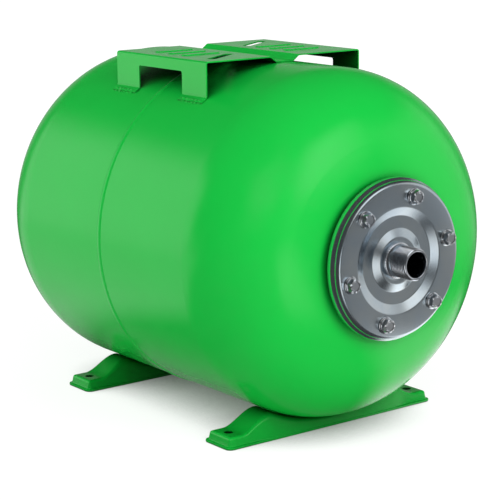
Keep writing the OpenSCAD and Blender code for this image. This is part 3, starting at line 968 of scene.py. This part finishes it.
@dataclass
class PressedFoot(Assembly):
    """One pressed foot: a deep-drawn pan with a saddle, two ogee shoulders and flat tabs."""

    end: str = "front"
    length: float = 285.0 * MM
    width: float = 46.0 * MM
    sheet: float = 2.5 * MM
    lip: float = 3.2 * MM
    tab_h: float = 12.0 * MM
    saddle_y: float = 80.0 * MM
    tab_y: float = 121.0 * MM
    lean: float = 1.2 * MM
    edge_r: float = 3.5 * MM
    soft_r: float = 8.0 * MM
    corner_r: float = 7.0 * MM
    hole_y: float = 126.0 * MM
    hole_r: float = 5.0 * MM
    gap: float = 0.2 * MM

    def build(self) -> None:
        """Makes the foot with its two holes."""
        foot = make_piece(f"{self.end}_pressed_foot", [self.pan()], 50)
        self.add(drilled(foot, self.drills(), 40), Slot.PAINT, f"{self.end}_foot")

    def middle_x(self) -> float:
        """Middle of the foot along the tank."""
        low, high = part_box(f"{self.end}_foot")
        return (low.x + high.x) / 2

    def top(self, y: np.ndarray) -> np.ndarray:
        """Height of the upper face at each distance from the middle.

        It follows the tank's circle under the saddle, then a cubic with a rise of 0.2 at its
        start and none at its end, then the flat tab.

        Args:
            y: Distances from the foot's middle.

        Returns:
            Heights above the floor.
        """
        y = np.abs(y)
        reach = self.place.radius + self.gap
        saddle = self.place.axis_z - np.sqrt(reach**2 - np.minimum(y, self.saddle_y) ** 2)
        s = np.clip((y - self.saddle_y) / (self.tab_y - self.saddle_y), 0, 1)
        edge = self.place.axis_z - math.sqrt(reach**2 - self.saddle_y**2)
        ogee = (1 - 3 * s**2 + 2 * s**3) * edge + (s - 2 * s**2 + s**3) * 0.2 * (self.tab_y - self.saddle_y)
        ogee = ogee + (3 * s**2 - 2 * s**3) * self.tab_h
        return np.where(y <= self.saddle_y, saddle, ogee)

    def outline(self, inset: float) -> np.ndarray:
        """Right half of the outline in plan, from the near end to the far end.

        Args:
            inset: Distance inside the foot's outline.

        Returns:
            Points as (x from the middle, y).
        """
        a = self.length / 2 - inset
        b = self.width / 2 - inset
        c = max(self.corner_r - inset, 1.0 * MM)
        q = np.linspace(0, np.pi / 2, 7)
        side = np.linspace(-(a - c), a - c, 190)[1:-1]
        near = np.stack([b - c + c * np.sin(q), -a + c - c * np.cos(q)], axis=1)
        far = (near * np.array([1.0, -1.0]))[::-1]
        run = np.stack([np.full_like(side, b), side], axis=1)
        return np.concatenate([[[0.0, -a]], near, run, far, [[0.0, a]]])

    def ring(
        self, lip: float, wall: float, turn: float, skin: float = 0.0, extra: float = 0.0,
        z: float | None = None,
    ) -> np.ndarray:
        """One closed ring of the pan.

        Along the ends every ring lies inside the outline by lip + wall + e (1 - cos turn)
        + skin + extra, with e the edge radius. Along the sides the lip fades to 0.3 of its
        width towards the saddle, the wall leans in by 0.16 of the height above the tab, and
        e grows towards the saddle, which gives the wide soft shoulder.

        Args:
            lip: Part of the lip's width, in metres.
            wall: Inward lean of the wall, in metres.
            turn: Angle round the upper edge, 0 at the wall and a quarter turn on top.
            skin: Offset to the inner skin.
            extra: Further inset.
            z: Fixed height, or none to follow the upper face.

        Returns:
            Points of the ring.
        """
        end = lip + wall + (self.edge_r - skin) * (1 - math.cos(turn)) + skin + extra
        half = self.outline(end)
        top = self.top(half[:, 1])
        s = np.clip((self.hole_y - 16 * MM - np.abs(half[:, 1])) / (26 * MM), 0, 1)
        s = s * s * (3 - 2 * s)
        edge = np.minimum(self.edge_r + (self.soft_r - self.edge_r) * s, 0.55 * (top - self.sheet - MM))
        rise = np.clip(top - self.tab_h, 0, None) if z is None else 0.0 * top
        inner = np.maximum(edge - skin, 0.2 * MM)
        slope = 0.16 * rise * (wall > 0)
        inset = lip * (1 - 0.7 * s) + wall + slope + inner * (1 - math.cos(turn)) + skin + extra
        half[:, 0] *= (self.width / 2 - inset) / (self.width / 2 - end)
        height = top - skin - inner * (1 - math.sin(turn)) if z is None else np.full(len(half), z)
        right = np.stack([half[:, 0], half[:, 1], height], axis=1)
        left = (right * np.array([-1.0, 1.0, 1.0]))[::-1]
        ring = np.concatenate([right, left[1:-1]])
        ring[:, 0] += self.middle_x()
        return ring

    def pan(self) -> Skin:
        """Skin of the pan: lip, wall, rounded edge and upper face, then the inside back down.

        The upper and lower faces are rows that shrink to the foot's middle line in x. The
        strip that would join their two middle lines through the sheet is left out.

        Returns:
            Points and quads.
        """
        t, small, lip = self.sheet, 0.5 * MM, self.lip
        q = np.linspace(0, np.pi / 2, 9)
        low = np.linspace(0, np.pi / 2, 4)
        rings = [self.ring(small, 0, 0, z=0.0)]
        for a in low[1:]:
            rings.append(self.ring(small * (1 - math.sin(a)), 0, 0, z=0.5 * t * (1 - math.cos(a))))
        for a in low[1:]:
            rings.append(self.ring(small * (1 - math.cos(a)), 0, 0, z=t - small * (1 - math.sin(a))))
        for a in low:
            rings.append(self.ring(lip - MM + MM * math.sin(a), 0, 0, z=t + MM * (1 - math.cos(a))))
        rings += [self.ring(lip, self.lean, a) for a in q]
        rings += [self.ring(lip, self.lean, math.pi / 2, extra=step * MM) for step in (0.7, 2.0)]
        middle = rings[-1] * np.array([0.0, 1.0, 1.0]) + np.array([self.middle_x(), 0.0, 0.0])
        upper = len(rings)
        rings += [middle, middle - np.array([0.0, 0.0, t])]
        rings += [self.ring(lip, self.lean, math.pi / 2, t, step * MM) for step in (2.0, 0.7)]
        rings += [self.ring(lip, self.lean, a, t) for a in q[::-1]]
        rings.append(self.ring(lip + t - 0.6 * MM, 0, 0, z=0.0))
        points = np.stack(rings)
        columns = points.shape[1]
        strip = upper * columns + np.arange(columns)
        return points, np.delete(grid_quads(len(rings), columns), strip, axis=0)

    def drills(self) -> list[Skin]:
        """Cutters of the bolt holes, wide below so that only a thin edge shows from above.

        Returns:
            Points and quads of both.
        """
        h = np.array([-9.0, -9.0, -1.6, -0.6, 9.0, 9.0])[:, None] * MM
        r = np.array([0.0, 1.5, 1.5, 1.0, 1.0, 0.0])[:, None] * self.hole_r
        centres = [(self.middle_x(), side * self.hole_y, self.tab_h) for side in (-1, 1)]
        return [spindle(centre, r, h, full_turn(48), upright=True) for centre in centres]


@dataclass
class CoverFlange(Assembly):
    """The pressed zinc cover, its bolts, its clamp ring and the nipple's weld."""

    sheet: float = 3.0 * MM
    hole_r: float = 16.0 * MM
    boss_r: float = 24.0 * MM
    boss_drop: float = 1.3 * MM
    floor_in: float = 33.0 * MM
    floor_out: float = 46.0 * MM
    land_r: float = 56.0 * MM
    recess: float = 4.5 * MM
    rim_r: float = 82.0 * MM
    rim_step: float = 2.7 * MM
    rim_depth: float = 13.5 * MM
    bolt_count: int = 6
    bolt_circle: float = 66.75 * MM
    first_bolt: float = 13.5
    bolt_hole: float = 4.6 * MM

    def build(self) -> None:
        """Makes the cover and its small pieces, and dresses the ring and bladder."""
        turned = self.finishes.turned_zinc
        section = self.section()
        skin = self.place.skin(section[:, :1], section[:, 1:], full_turn(256))
        cover = drilled(make_piece("pressed_cover", [skin], 50), self.drills(), 50)
        self.add(cover, Slot.ZINC, "cover_flange")
        self.add(make_piece("nipple_bead", [self.nipple_bead()], 60), Slot.ZINC, "nipple_weld", finish=turned)
        twists = np.random.default_rng(7).uniform(0, np.pi / 3, self.bolt_count)
        places = self.bolt_places(self.place.land_x)
        bolts = [FlangeBolt().skin(at, twist) for at, twist in zip(places, twists)]
        self.add(make_piece("bolt_set", bolts, 28), Slot.ZINC, "flange_bolts", finish=turned)
        self.dress(self.nodes["clamp_ring"], self.finishes.by_slot[Slot.ZINC])
        self.dress(self.nodes["bladder"], self.finishes.by_slot[Slot.RUBBER])

    def bolt_places(self, x: float) -> np.ndarray:
        """Places of the bolts on their circle.

        Args:
            x: Place along the tank's axis.

        Returns:
            One row of x, y and z for each bolt.
        """
        at = math.radians(self.first_bolt) + 2 * np.pi * np.arange(self.bolt_count) / self.bolt_count
        y, z = self.bolt_circle * np.cos(at), self.place.axis_z + self.bolt_circle * np.sin(at)
        return np.stack([np.full(self.bolt_count, x), y, z], axis=-1)

    def section(self) -> np.ndarray:
        """Section of the pressed cover: the sheet's middle line with a soft bend at each corner.

        Returns:
            Points of the outline as (x, r).
        """
        mid = self.place.land_x - self.sheet / 2
        wall = self.rim_r - self.sheet / 2
        down = self.sheet + 1.0 * MM
        corners = np.array([
            [mid - self.boss_drop, self.hole_r],
            [mid - self.boss_drop, self.boss_r],
            [mid - self.recess, self.floor_in],
            [mid - self.recess, self.floor_out],
            [mid, self.land_r],
            [mid, wall],
            [mid - down, wall],
            [mid - down - self.rim_step, wall + self.rim_step],
            [self.place.land_x - self.rim_depth, wall + self.rim_step],
        ])
        radii = MM * np.array([5.0, 5.0, 6.0, 6.0, 2.9, 2.3, 2.3])
        return sheet_section(rounded_path(corners, radii, 10), self.sheet)

    def drills(self) -> list[Skin]:
        """Round cutters for the bolt holes.

        Returns:
            Points and quads of each.
        """
        h = np.array([-8.0, -8.0, 8.0, 8.0])[:, None] * MM
        r = np.array([0.0, 1.0, 1.0, 0.0])[:, None] * self.bolt_hole
        places = self.bolt_places(self.place.land_x - self.sheet / 2)
        return [spindle(at, r, h, full_turn(40)) for at in places]

    def nipple_bead(self) -> Skin:
        """Weld bead round the nipple: a hollow quarter round with shallow ripples along it.

        With t from 0 to 1 and a leg l, the radius falls by l sin(pi t / 2) and the height
        rises by l (1 - cos(pi t / 2)). Ripples add 0.05 l |sin| of the angle.

        Returns:
            Points and quads.
        """
        leg = 2.8 * MM
        turn = full_turn(480)
        t = np.linspace(0, 1, 10)[:, None]
        ripple = 0.05 * leg * np.abs(np.sin(20 * turn + 1.2 * t)) * np.sin(np.pi * t)
        face = self.place.land_x - self.boss_drop
        r = self.hole_r + leg * (1 - np.sin(0.5 * np.pi * t)) + ripple
        x = face + leg * (1 - np.cos(0.5 * np.pi * t)) + ripple
        low = np.array([[self.hole_r], [self.hole_r + leg]]) * np.ones_like(turn)
        back = (face - 0.3 * MM) * np.ones_like(low)
        return self.place.skin(np.concatenate([x, back]), np.concatenate([r, low]), turn)


@dataclass(frozen=True)
class FlangeBolt:
    """A flange-head bolt of the cover."""

    washer_r: float = 8.9 * MM
    washer_t: float = 1.4 * MM
    across_flats: float = 13.0 * MM
    height: float = 8.0 * MM
    dish_r: float = 4.6 * MM
    dish_d: float = 0.5 * MM
    shank_r: float = 3.9 * MM
    shank_l: float = 16.0 * MM
    pitch: float = 1.25 * MM

    def skin(self, at: np.ndarray, twist: float) -> Skin:
        """One whole bolt in its place.

        Args:
            at: Middle of the face under its head.
            twist: Turn of the hexagon about the bolt.

        Returns:
            Points and quads.
        """
        ring = full_turn(60)
        r, z = (np.concatenate(rows) for rows in zip(self.shank(ring), self.head(ring)))
        return spindle(at, r, z, ring + twist)

    def head(self, turn: np.ndarray) -> tuple[np.ndarray, np.ndarray]:
        """Radius and height of the head at each angle, from the washer's edge to the dish.

        The hexagon's radius is a / cos(w), where w is the angle from the nearest flat, eased
        at the corners. Its top is cut by a cone of 45 degrees, so each flat ends in an arc.

        Args:
            turn: Angles round the bolt as one row.

        Returns:
            Radii and heights, one row for each level.
        """
        flat = self.across_flats / 2
        corner = self.across_flats / math.sqrt(3)
        off = np.mod(turn + np.pi / 6, np.pi / 3) - np.pi / 6
        hexagon = np.minimum(flat / np.cos(off), corner - 0.12 * MM)
        cut = corner - 1.0 * MM
        top = self.height - np.maximum(hexagon - cut, 0)
        cone = self.washer_t + 1.2 * MM
        dish = self.height - self.dish_d
        levels = [
            (self.washer_r - 0.25 * MM, 0.0),
            (self.washer_r, 0.25 * MM),
            (self.washer_r, self.washer_t - 0.35 * MM),
            (self.washer_r - 0.12 * MM, self.washer_t - 0.1 * MM),
            (self.washer_r - 0.5 * MM, self.washer_t + 0.04 * MM),
            (corner + 0.35 * MM, cone - 0.12 * MM),
            (hexagon + 0.12 * MM, cone + 0.12 * MM),
            (hexagon, cone + 0.4 * MM),
            (hexagon, top - 0.25 * MM),
            (hexagon - 0.08 * MM, top - 0.06 * MM),
            (np.minimum(hexagon - 0.3 * MM, cut), np.minimum(top + 0.16 * MM, self.height)),
            (self.dish_r + 0.25 * MM, self.height),
            (self.dish_r, self.height - 0.06 * MM),
            (self.dish_r - 0.4 * MM, dish),
            (0.5 * self.dish_r, dish - 0.05 * MM),
            (0.0, dish - 0.07 * MM),
        ]
        one = np.ones_like(turn)
        return np.concatenate([r * one for r, _ in levels]), np.concatenate([z * one for _, z in levels])

    def shank(self, turn: np.ndarray) -> tuple[np.ndarray, np.ndarray]:
        """Radius and height of the shank at each angle, from its tip up to the head.

        The thread is a helix: the groove's depth at height z and angle t is a triangle wave
        of z / pitch - t / 2 pi, over the lower 11 mm.

        Args:
            turn: Angles round the bolt as one row.

        Returns:
            Radii and heights, one row for each level.
        """
        z = np.linspace(-self.shank_l, 0, 118)[:, None] * np.ones_like(turn)
        wave = np.abs(2 * np.mod(z / self.pitch - turn / (2 * np.pi), 1.0) - 1)
        fade = np.clip((-4.0 * MM - z) / (1.5 * MM), 0, 1)
        tip = np.clip((z + self.shank_l) / (0.8 * MM), 0, 1)
        r = self.shank_r - 0.62 * MM * fade * np.clip(1.25 * wave - 0.12, 0, 1)
        r = np.minimum(r, self.shank_r - 0.8 * MM * (1 - tip))
        r[0] = 0.0
        z[1] = z[0]
        return r, z


@dataclass
class WaterNipple(Assembly):
    """The threaded water connection with a cut one inch pipe thread."""

    crest: float = 16.62 * MM
    stub: float = 15.9 * MM
    bore: float = 13.3 * MM
    boss_x: float = 1.3 * MM
    stub_l: float = 5.0 * MM
    tail: float = 6.0 * MM
    pitch: float = 2.309 * MM
    depth: float = 1.48 * MM
    chamfer: float = 1.2 * MM

    def build(self) -> None:
        """Makes the nipple."""
        piece = make_piece("threaded_nipple", [self.skin()], 32)
        self.add(piece, Slot.ZINC, "water_nipple", finish=self.finishes.turned_zinc)

    def skin(self) -> Skin:
        """Whole skin of the nipple: thread outside, bore inside, both ends closed by rings.

        At place x and angle t the thread's phase is u = x / pitch - t / 2 pi. The groove is
        a triangle wave of u with its crest and root eased, times a fade at the stub. The
        radius is also kept inside the end's chamfer cone.

        Returns:
            Points and quads.
        """
        turn = full_turn(192)
        one = np.ones_like(turn)
        face = self.place.land_x - self.boss_x
        start = face + self.stub_l
        end = self.place.nipple_end
        x = np.linspace(start, end, 190)[:, None] * one
        wave = np.abs(2 * np.mod((x - start) / self.pitch - turn / (2 * np.pi), 1.0) - 1)
        groove = np.clip(1.24 * wave - 0.12, 0, 1)
        groove = groove * groove * (3 - 2 * groove) * 0.35 + groove * 0.65
        fade = np.clip((x - start) / (1.2 * self.pitch), 0, 1)
        r = self.crest - self.depth * groove * fade
        r = np.minimum(r, self.stub + (x - start))
        r = np.minimum(r, self.crest - self.chamfer + (end - x))
        plain = np.linspace(face - self.tail, start, 14)[:-1, None] * one
        lead = np.array([0.0, 0.25, 0.8, 6.0, 14.0]) * MM
        bore_x = np.concatenate([end - lead, [face, face - self.tail]])
        bore_r = self.bore + MM * np.array([0.75, 0.3, 0.0, 0.0, 0.0, 0.0, 0.0])
        x = np.concatenate([plain, x, bore_x[:, None] * one])
        r = np.concatenate([self.stub * np.ones_like(plain), r, bore_r[:, None] * one])
        return self.place.skin(x, r, turn)


@dataclass
class AirValve(Assembly):
    """The air valve on the rear end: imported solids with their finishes."""

    def build(self) -> None:
        """Dresses the valve's nodes."""
        slots = {
            "valve_boss": Slot.PAINT,
            "valve_seal": Slot.RUBBER,
            "valve_stem": Slot.BRASS,
            "valve_core": Slot.BRASS,
            "dust_cap": Slot.PLASTIC,
            "valve_guard": Slot.PLASTIC,
        }
        for name, slot in slots.items():
            self.dress(self.nodes[name], self.finishes.by_slot[slot])


# Studio


def bearing(azimuth: float, elevation: float) -> Vector:
    """Unit vector at an angle round the tank from +X and an angle above the horizon."""
    a, e = math.radians(azimuth), math.radians(elevation)
    return Vector((math.cos(e) * math.cos(a), math.cos(e) * math.sin(a), math.sin(e)))


@dataclass(frozen=True)
class PhotoCamera:
    """Camera fitted to the photograph, as angles about the seam's middle.

    Attributes:
        azimuth: Angle round the tank in degrees.
        elevation: Angle above the horizon in degrees.
        roll: Roll in degrees.
        distance: Distance in tank radii.
        shift_right: Offset to the right in tank radii.
        shift_up: Offset upwards in tank radii.
        focal_px: Focal length in pixels of the picture.
        picture_px: Width of the picture.
        film: Width of the camera's film in millimetres.
    """

    azimuth: float = 52.6813
    elevation: float = 12.0149
    roll: float = -0.533
    distance: float = 10.4576
    shift_right: float = 0.0626
    shift_up: float = -0.1704
    focal_px: float = 1730.1436
    picture_px: float = 500.0
    film: float = 36.0

    def build(self, place: TankFrame, middle: Vector) -> None:
        """Places the camera and makes it the scene's own.

        Args:
            place: Shared places.
            middle: The point that the angles turn about.
        """
        a, e, r = (math.radians(v) for v in (self.azimuth, self.elevation, self.roll))
        back = Vector((math.sin(a) * math.cos(e), -math.cos(a) * math.cos(e), math.sin(e)))
        right = Vector((math.cos(a), math.sin(a), 0.0))
        up = back.cross(right)
        x_axis = math.cos(r) * right + math.sin(r) * up
        y_axis = -math.sin(r) * right + math.cos(r) * up
        shift = self.shift_right * x_axis + self.shift_up * y_axis
        at = middle + place.radius * (self.distance * back + shift)
        data = bpy.data.cameras.new("photo_camera")
        data.sensor_width = self.film
        data.lens = self.focal_px * self.film / self.picture_px
        data.clip_end = 100.0
        camera = bpy.data.objects.new("photo_camera", data)
        turn = Matrix((x_axis, y_axis, back)).transposed().to_4x4()
        camera.matrix_world = Matrix.Translation(at) @ turn
        bpy.context.scene.collection.objects.link(camera)
        bpy.context.scene.camera = camera


@dataclass(frozen=True)
class SoftLight:
    """One large soft lamp.

    Attributes:
        name: Name of the lamp.
        azimuth: Angle round the tank from the nipple's side in degrees.
        elevation: Angle above the horizon in degrees.
        distance: Distance from the tank.
        size: Width and height.
        level: Brightness that it alone gives a white card that faces it.
    """

    name: str
    azimuth: float
    elevation: float
    distance: float
    size: tuple[float, float]
    level: float

    def build(self, target: Vector) -> None:
        """Places the lamp so that it faces the target.

        A card of albedo 1 at distance d from a lamp of power P shows P / (pi d)^2. The lamp
        itself stays out of mirror images, where the glows stand for it.

        Args:
            target: The point that it shines at.
        """
        data = bpy.data.lights.new(self.name, "AREA")
        data.shape = "RECTANGLE"
        data.size, data.size_y = self.size
        data.energy = self.level * (math.pi * self.distance) ** 2
        lamp = bpy.data.objects.new(self.name, data)
        direction = bearing(self.azimuth, self.elevation)
        lamp.location = target + self.distance * direction
        lamp.rotation_euler = direction.to_track_quat("Z", "Y").to_euler()
        lamp.visible_glossy = False
        bpy.context.scene.collection.objects.link(lamp)


@dataclass(frozen=True)
class Glow:
    """A soft-edged bright rectangle in the surroundings, such as a softbox or a lit table.

    Attributes:
        azimuth: Angle of its middle round the tank in degrees.
        elevation: Angle of its middle above the horizon in degrees.
        half: Half width and half height, as sines of angles.
        edge: Softness of its border, as a sine.
        level: Brightness, 1 being white.
    """

    azimuth: float
    elevation: float
    half: tuple[float, float]
    edge: float
    level: float

    def value(self, w: Wiring, direction: Socket) -> Socket:
        """Brightness of this glow along a direction.

        The direction's parts along the rectangle's width, height and middle are dot products.
        The result is level times a smooth step of each part's size at its border.

        Args:
            w: Wiring of the node group.
            direction: Unit direction.

        Returns:
            The brightness.
        """
        middle = bearing(self.azimuth, self.elevation)
        across = bearing(self.azimuth + 90, 0.0)
        ahead = w.math("GREATER_THAN", w.vector("DOT_PRODUCT", direction, tuple(middle)), 0.0)
        result = w.math("MULTIPLY", ahead, self.level)
        for axis, half in zip((across, middle.cross(across)), self.half):
            part = w.math("ABSOLUTE", w.vector("DOT_PRODUCT", direction, tuple(axis)))
            step = w.span(part, half - self.edge, half + self.edge, 1.0, 0.0, "SMOOTHSTEP")
            result = w.math("MULTIPLY", result, step)
        return result


@dataclass
class Studio:
    """Floor, surroundings, lamps and camera.

    Attributes:
        place: Shared places.
        ambient: Strength of the surroundings for diffuse light.
        dim: Brightness of the unlit room in mirror images.
        floor_half: Half width of the floor.
        floor_drop: Depth of the floor under the feet, which keeps the two faces apart.
        floor_albedo: Lowest and highest albedo of the floor as the camera sees it.
        floor_bounce: Albedo of the floor for the light that it throws on the tank.
        floor_up: Glow of the floor on the tank.
        floor_tone: Brightness of the floor to the camera, near and far away.
        floor_reach: Distances at which it has them.
        corner: Reach of the painted shade on the floor in the corners at the feet.
        lamps: The soft lamps.
        glows: What shines in mirror images.
    """

    place: TankFrame
    ambient: float = 0.345
    dim: float = 0.05
    floor_half: float = 30.0
    floor_drop: float = 0.2 * MM
    floor_albedo: tuple[float, float] = (0.26, 0.28)
    floor_bounce: float = 0.60
    floor_up: float = 0.20
    floor_tone: tuple[float, float] = (0.84, 1.0)
    floor_reach: tuple[float, float] = (1.0, 4.0)
    corner: float = 0.07
    lamps: tuple[SoftLight, ...] = (
        SoftLight("front_softbox", 8.0, 24.0, 2.6, (1.4, 1.4), 0.47),
        SoftLight("left_softbox", -140.0, 12.0, 2.6, (1.6, 1.6), 0.42),
        SoftLight("camera_fill", -37.0, 30.0, 3.0, (1.6, 1.6), 0.30),
        SoftLight("top_softbox", 20.0, 82.0, 2.8, (2.0, 2.0), 0.04),
        SoftLight("back_fill", 125.0, 30.0, 3.0, (2.0, 2.0), 0.14),
    )
    glows: tuple[Glow, ...] = (
        Glow(-148.0, 8.0, (0.34, 0.34), 0.10, 0.92),
        Glow(-140.0, -20.0, (0.50, 0.30), 0.14, 0.70),
        Glow(0.0, -90.0, (0.66, 0.66), 0.18, 0.20),
        Glow(19.0, 29.0, (0.28, 0.30), 0.12, 0.95),
        Glow(72.0, 8.0, (0.48, 0.36), 0.14, 0.56),
        Glow(44.0, -36.0, (0.40, 0.25), 0.10, 1.20),
        Glow(143.0, 4.0, (0.55, 0.25), 0.18, 0.36),
        Glow(34.0, -15.0, (0.30, 0.20), 0.12, 0.20),
        Glow(-5.0, -11.0, (0.17, 0.14), 0.07, 1.00),
    )

    def build(self) -> None:
        """Builds the whole studio and sets the view transform."""
        middle = Vector((self.place.seam_x, 0.0, self.place.axis_z))
        for lamp in self.lamps:
            lamp.build(middle)
        tone = self.room_tone()
        self.world(tone)
        self.floor(tone, middle)
        PhotoCamera().build(self.place, middle)
        bpy.context.scene.view_settings.view_transform = "Standard"

    def room_tone(self) -> NodeTree:
        """Brightness of the studio along a direction: the dim room or the brightest glow there.

        Returns:
            The node group.
        """
        g = Group("Room tone", Direction=(0.0, 0.0, 0.0))
        unit = g.vector("NORMALIZE", g.given["Direction"])
        tone: object = self.dim
        for glow in self.glows:
            tone = g.math("MAXIMUM", tone, glow.value(g, unit))
        return g.closed(Tone=tone)

    def world(self, tone: NodeTree) -> None:
        """Surroundings: white to the camera and through glass, the room in mirror images.

        Args:
            tone: The room tone group.
        """
        world = bpy.data.worlds.new("studio")
        world.use_nodes = True
        world.node_tree.nodes.clear()
        w = Wiring(world.node_tree)
        path = w.add("ShaderNodeLightPath").outputs
        seen = w.math("MAXIMUM", path["Is Camera Ray"], path["Is Transmission Ray"])
        direction = w.add("ShaderNodeTexCoord").outputs["Generated"]
        room = w.add("ShaderNodeGroup", {"Direction": direction}, node_tree=tone).outputs["Tone"]
        strength = w.choice(seen, w.choice(path["Is Glossy Ray"], self.ambient, room), 1.0)
        sky = w.add("ShaderNodeBackground", {"Color": (1.0, 1.0, 1.0, 1.0), "Strength": strength})
        w.add("ShaderNodeOutputWorld", {"Surface": sky.outputs[0]})
        bpy.context.scene.world = world

    def floor(self, tone: NodeTree, middle: Vector) -> None:
        """A wide pale floor that keeps the object's shadow under a white background.

        To the camera it shines more with distance, and has painted shade in corners that the
        tank's feet close in. In mirror images it has the room's tone.

        Args:
            tone: The room tone group.
            middle: The tank's middle.
        """
        mesh = bpy.data.meshes.new("floor")
        signs = ((-1, -1), (1, -1), (1, 1), (-1, 1))
        corners = [(self.floor_half * x, self.floor_half * y, 0.0) for x, y in signs]
        mesh.from_pydata(corners, [], [(0, 1, 2, 3)])
        floor = bpy.data.objects.new("floor", mesh)
        floor.location.z = -self.floor_drop
        bpy.context.scene.collection.objects.link(floor)
        s = Surface("Pale floor", {})
        path = s.add("ShaderNodeLightPath").outputs
        camera, glossy = path["Is Camera Ray"], path["Is Glossy Ray"]
        albedo = s.span(s.noise(s.place, 3.0, 2.0), 0.3, 0.7, *self.floor_albedo)
        grey = s.choice(glossy, s.choice(camera, self.floor_bounce, albedo), 0.0)
        away = s.vector("SUBTRACT", s.place, tuple(middle))
        room = s.add("ShaderNodeGroup", {"Direction": away}, node_tree=tone).outputs["Tone"]
        far = s.span(s.vector("LENGTH", s.place), *self.floor_reach, *self.floor_tone)
        # Painted shade: the floor's glow to the camera falls off where ambient occlusion finds the feet and
        # tank close by.
        lit = s.math("MULTIPLY", far, s.span(s.open_air(self.corner), 0.0, 0.55, 0.03, 1.0))
        seen = s.math("MAXIMUM", camera, path["Is Transmission Ray"])
        upward = s.choice(path["Is Diffuse Ray"], s.math("MULTIPLY", seen, lit), self.floor_up)
        s.feed(s.shader, {
            "Base Color": s.add("ShaderNodeCombineColor", {0: grey, 1: grey, 2: grey}).outputs[0],
            "Emission Strength": s.choice(glossy, upward, room),
            "Emission Color": (1.0, 1.0, 1.0, 1.0),
            "Roughness": 0.9,
            "Specular IOR Level": 0.0,
        })
        mesh.materials.append(s.material)


def main() -> None:
    """Loads the frame, builds every sub-assembly in order and the studio round it."""
    logging.basicConfig(level=logging.INFO, format="%(name)s: %(message)s", force=True)
    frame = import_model()
    place = TankFrame.read()
    shared = (place, frame["nodes"], Finishes.build())
    TankBody(*shared).build()
    PumpBracket(*shared).build()
    for end in ("front", "rear"):
        PressedFoot(*shared, end).build()
    CoverFlange(*shared).build()
    WaterNipple(*shared).build()
    AirValve(*shared).build()
    Studio(place).build()


if __name__ == "__main__":
    main()
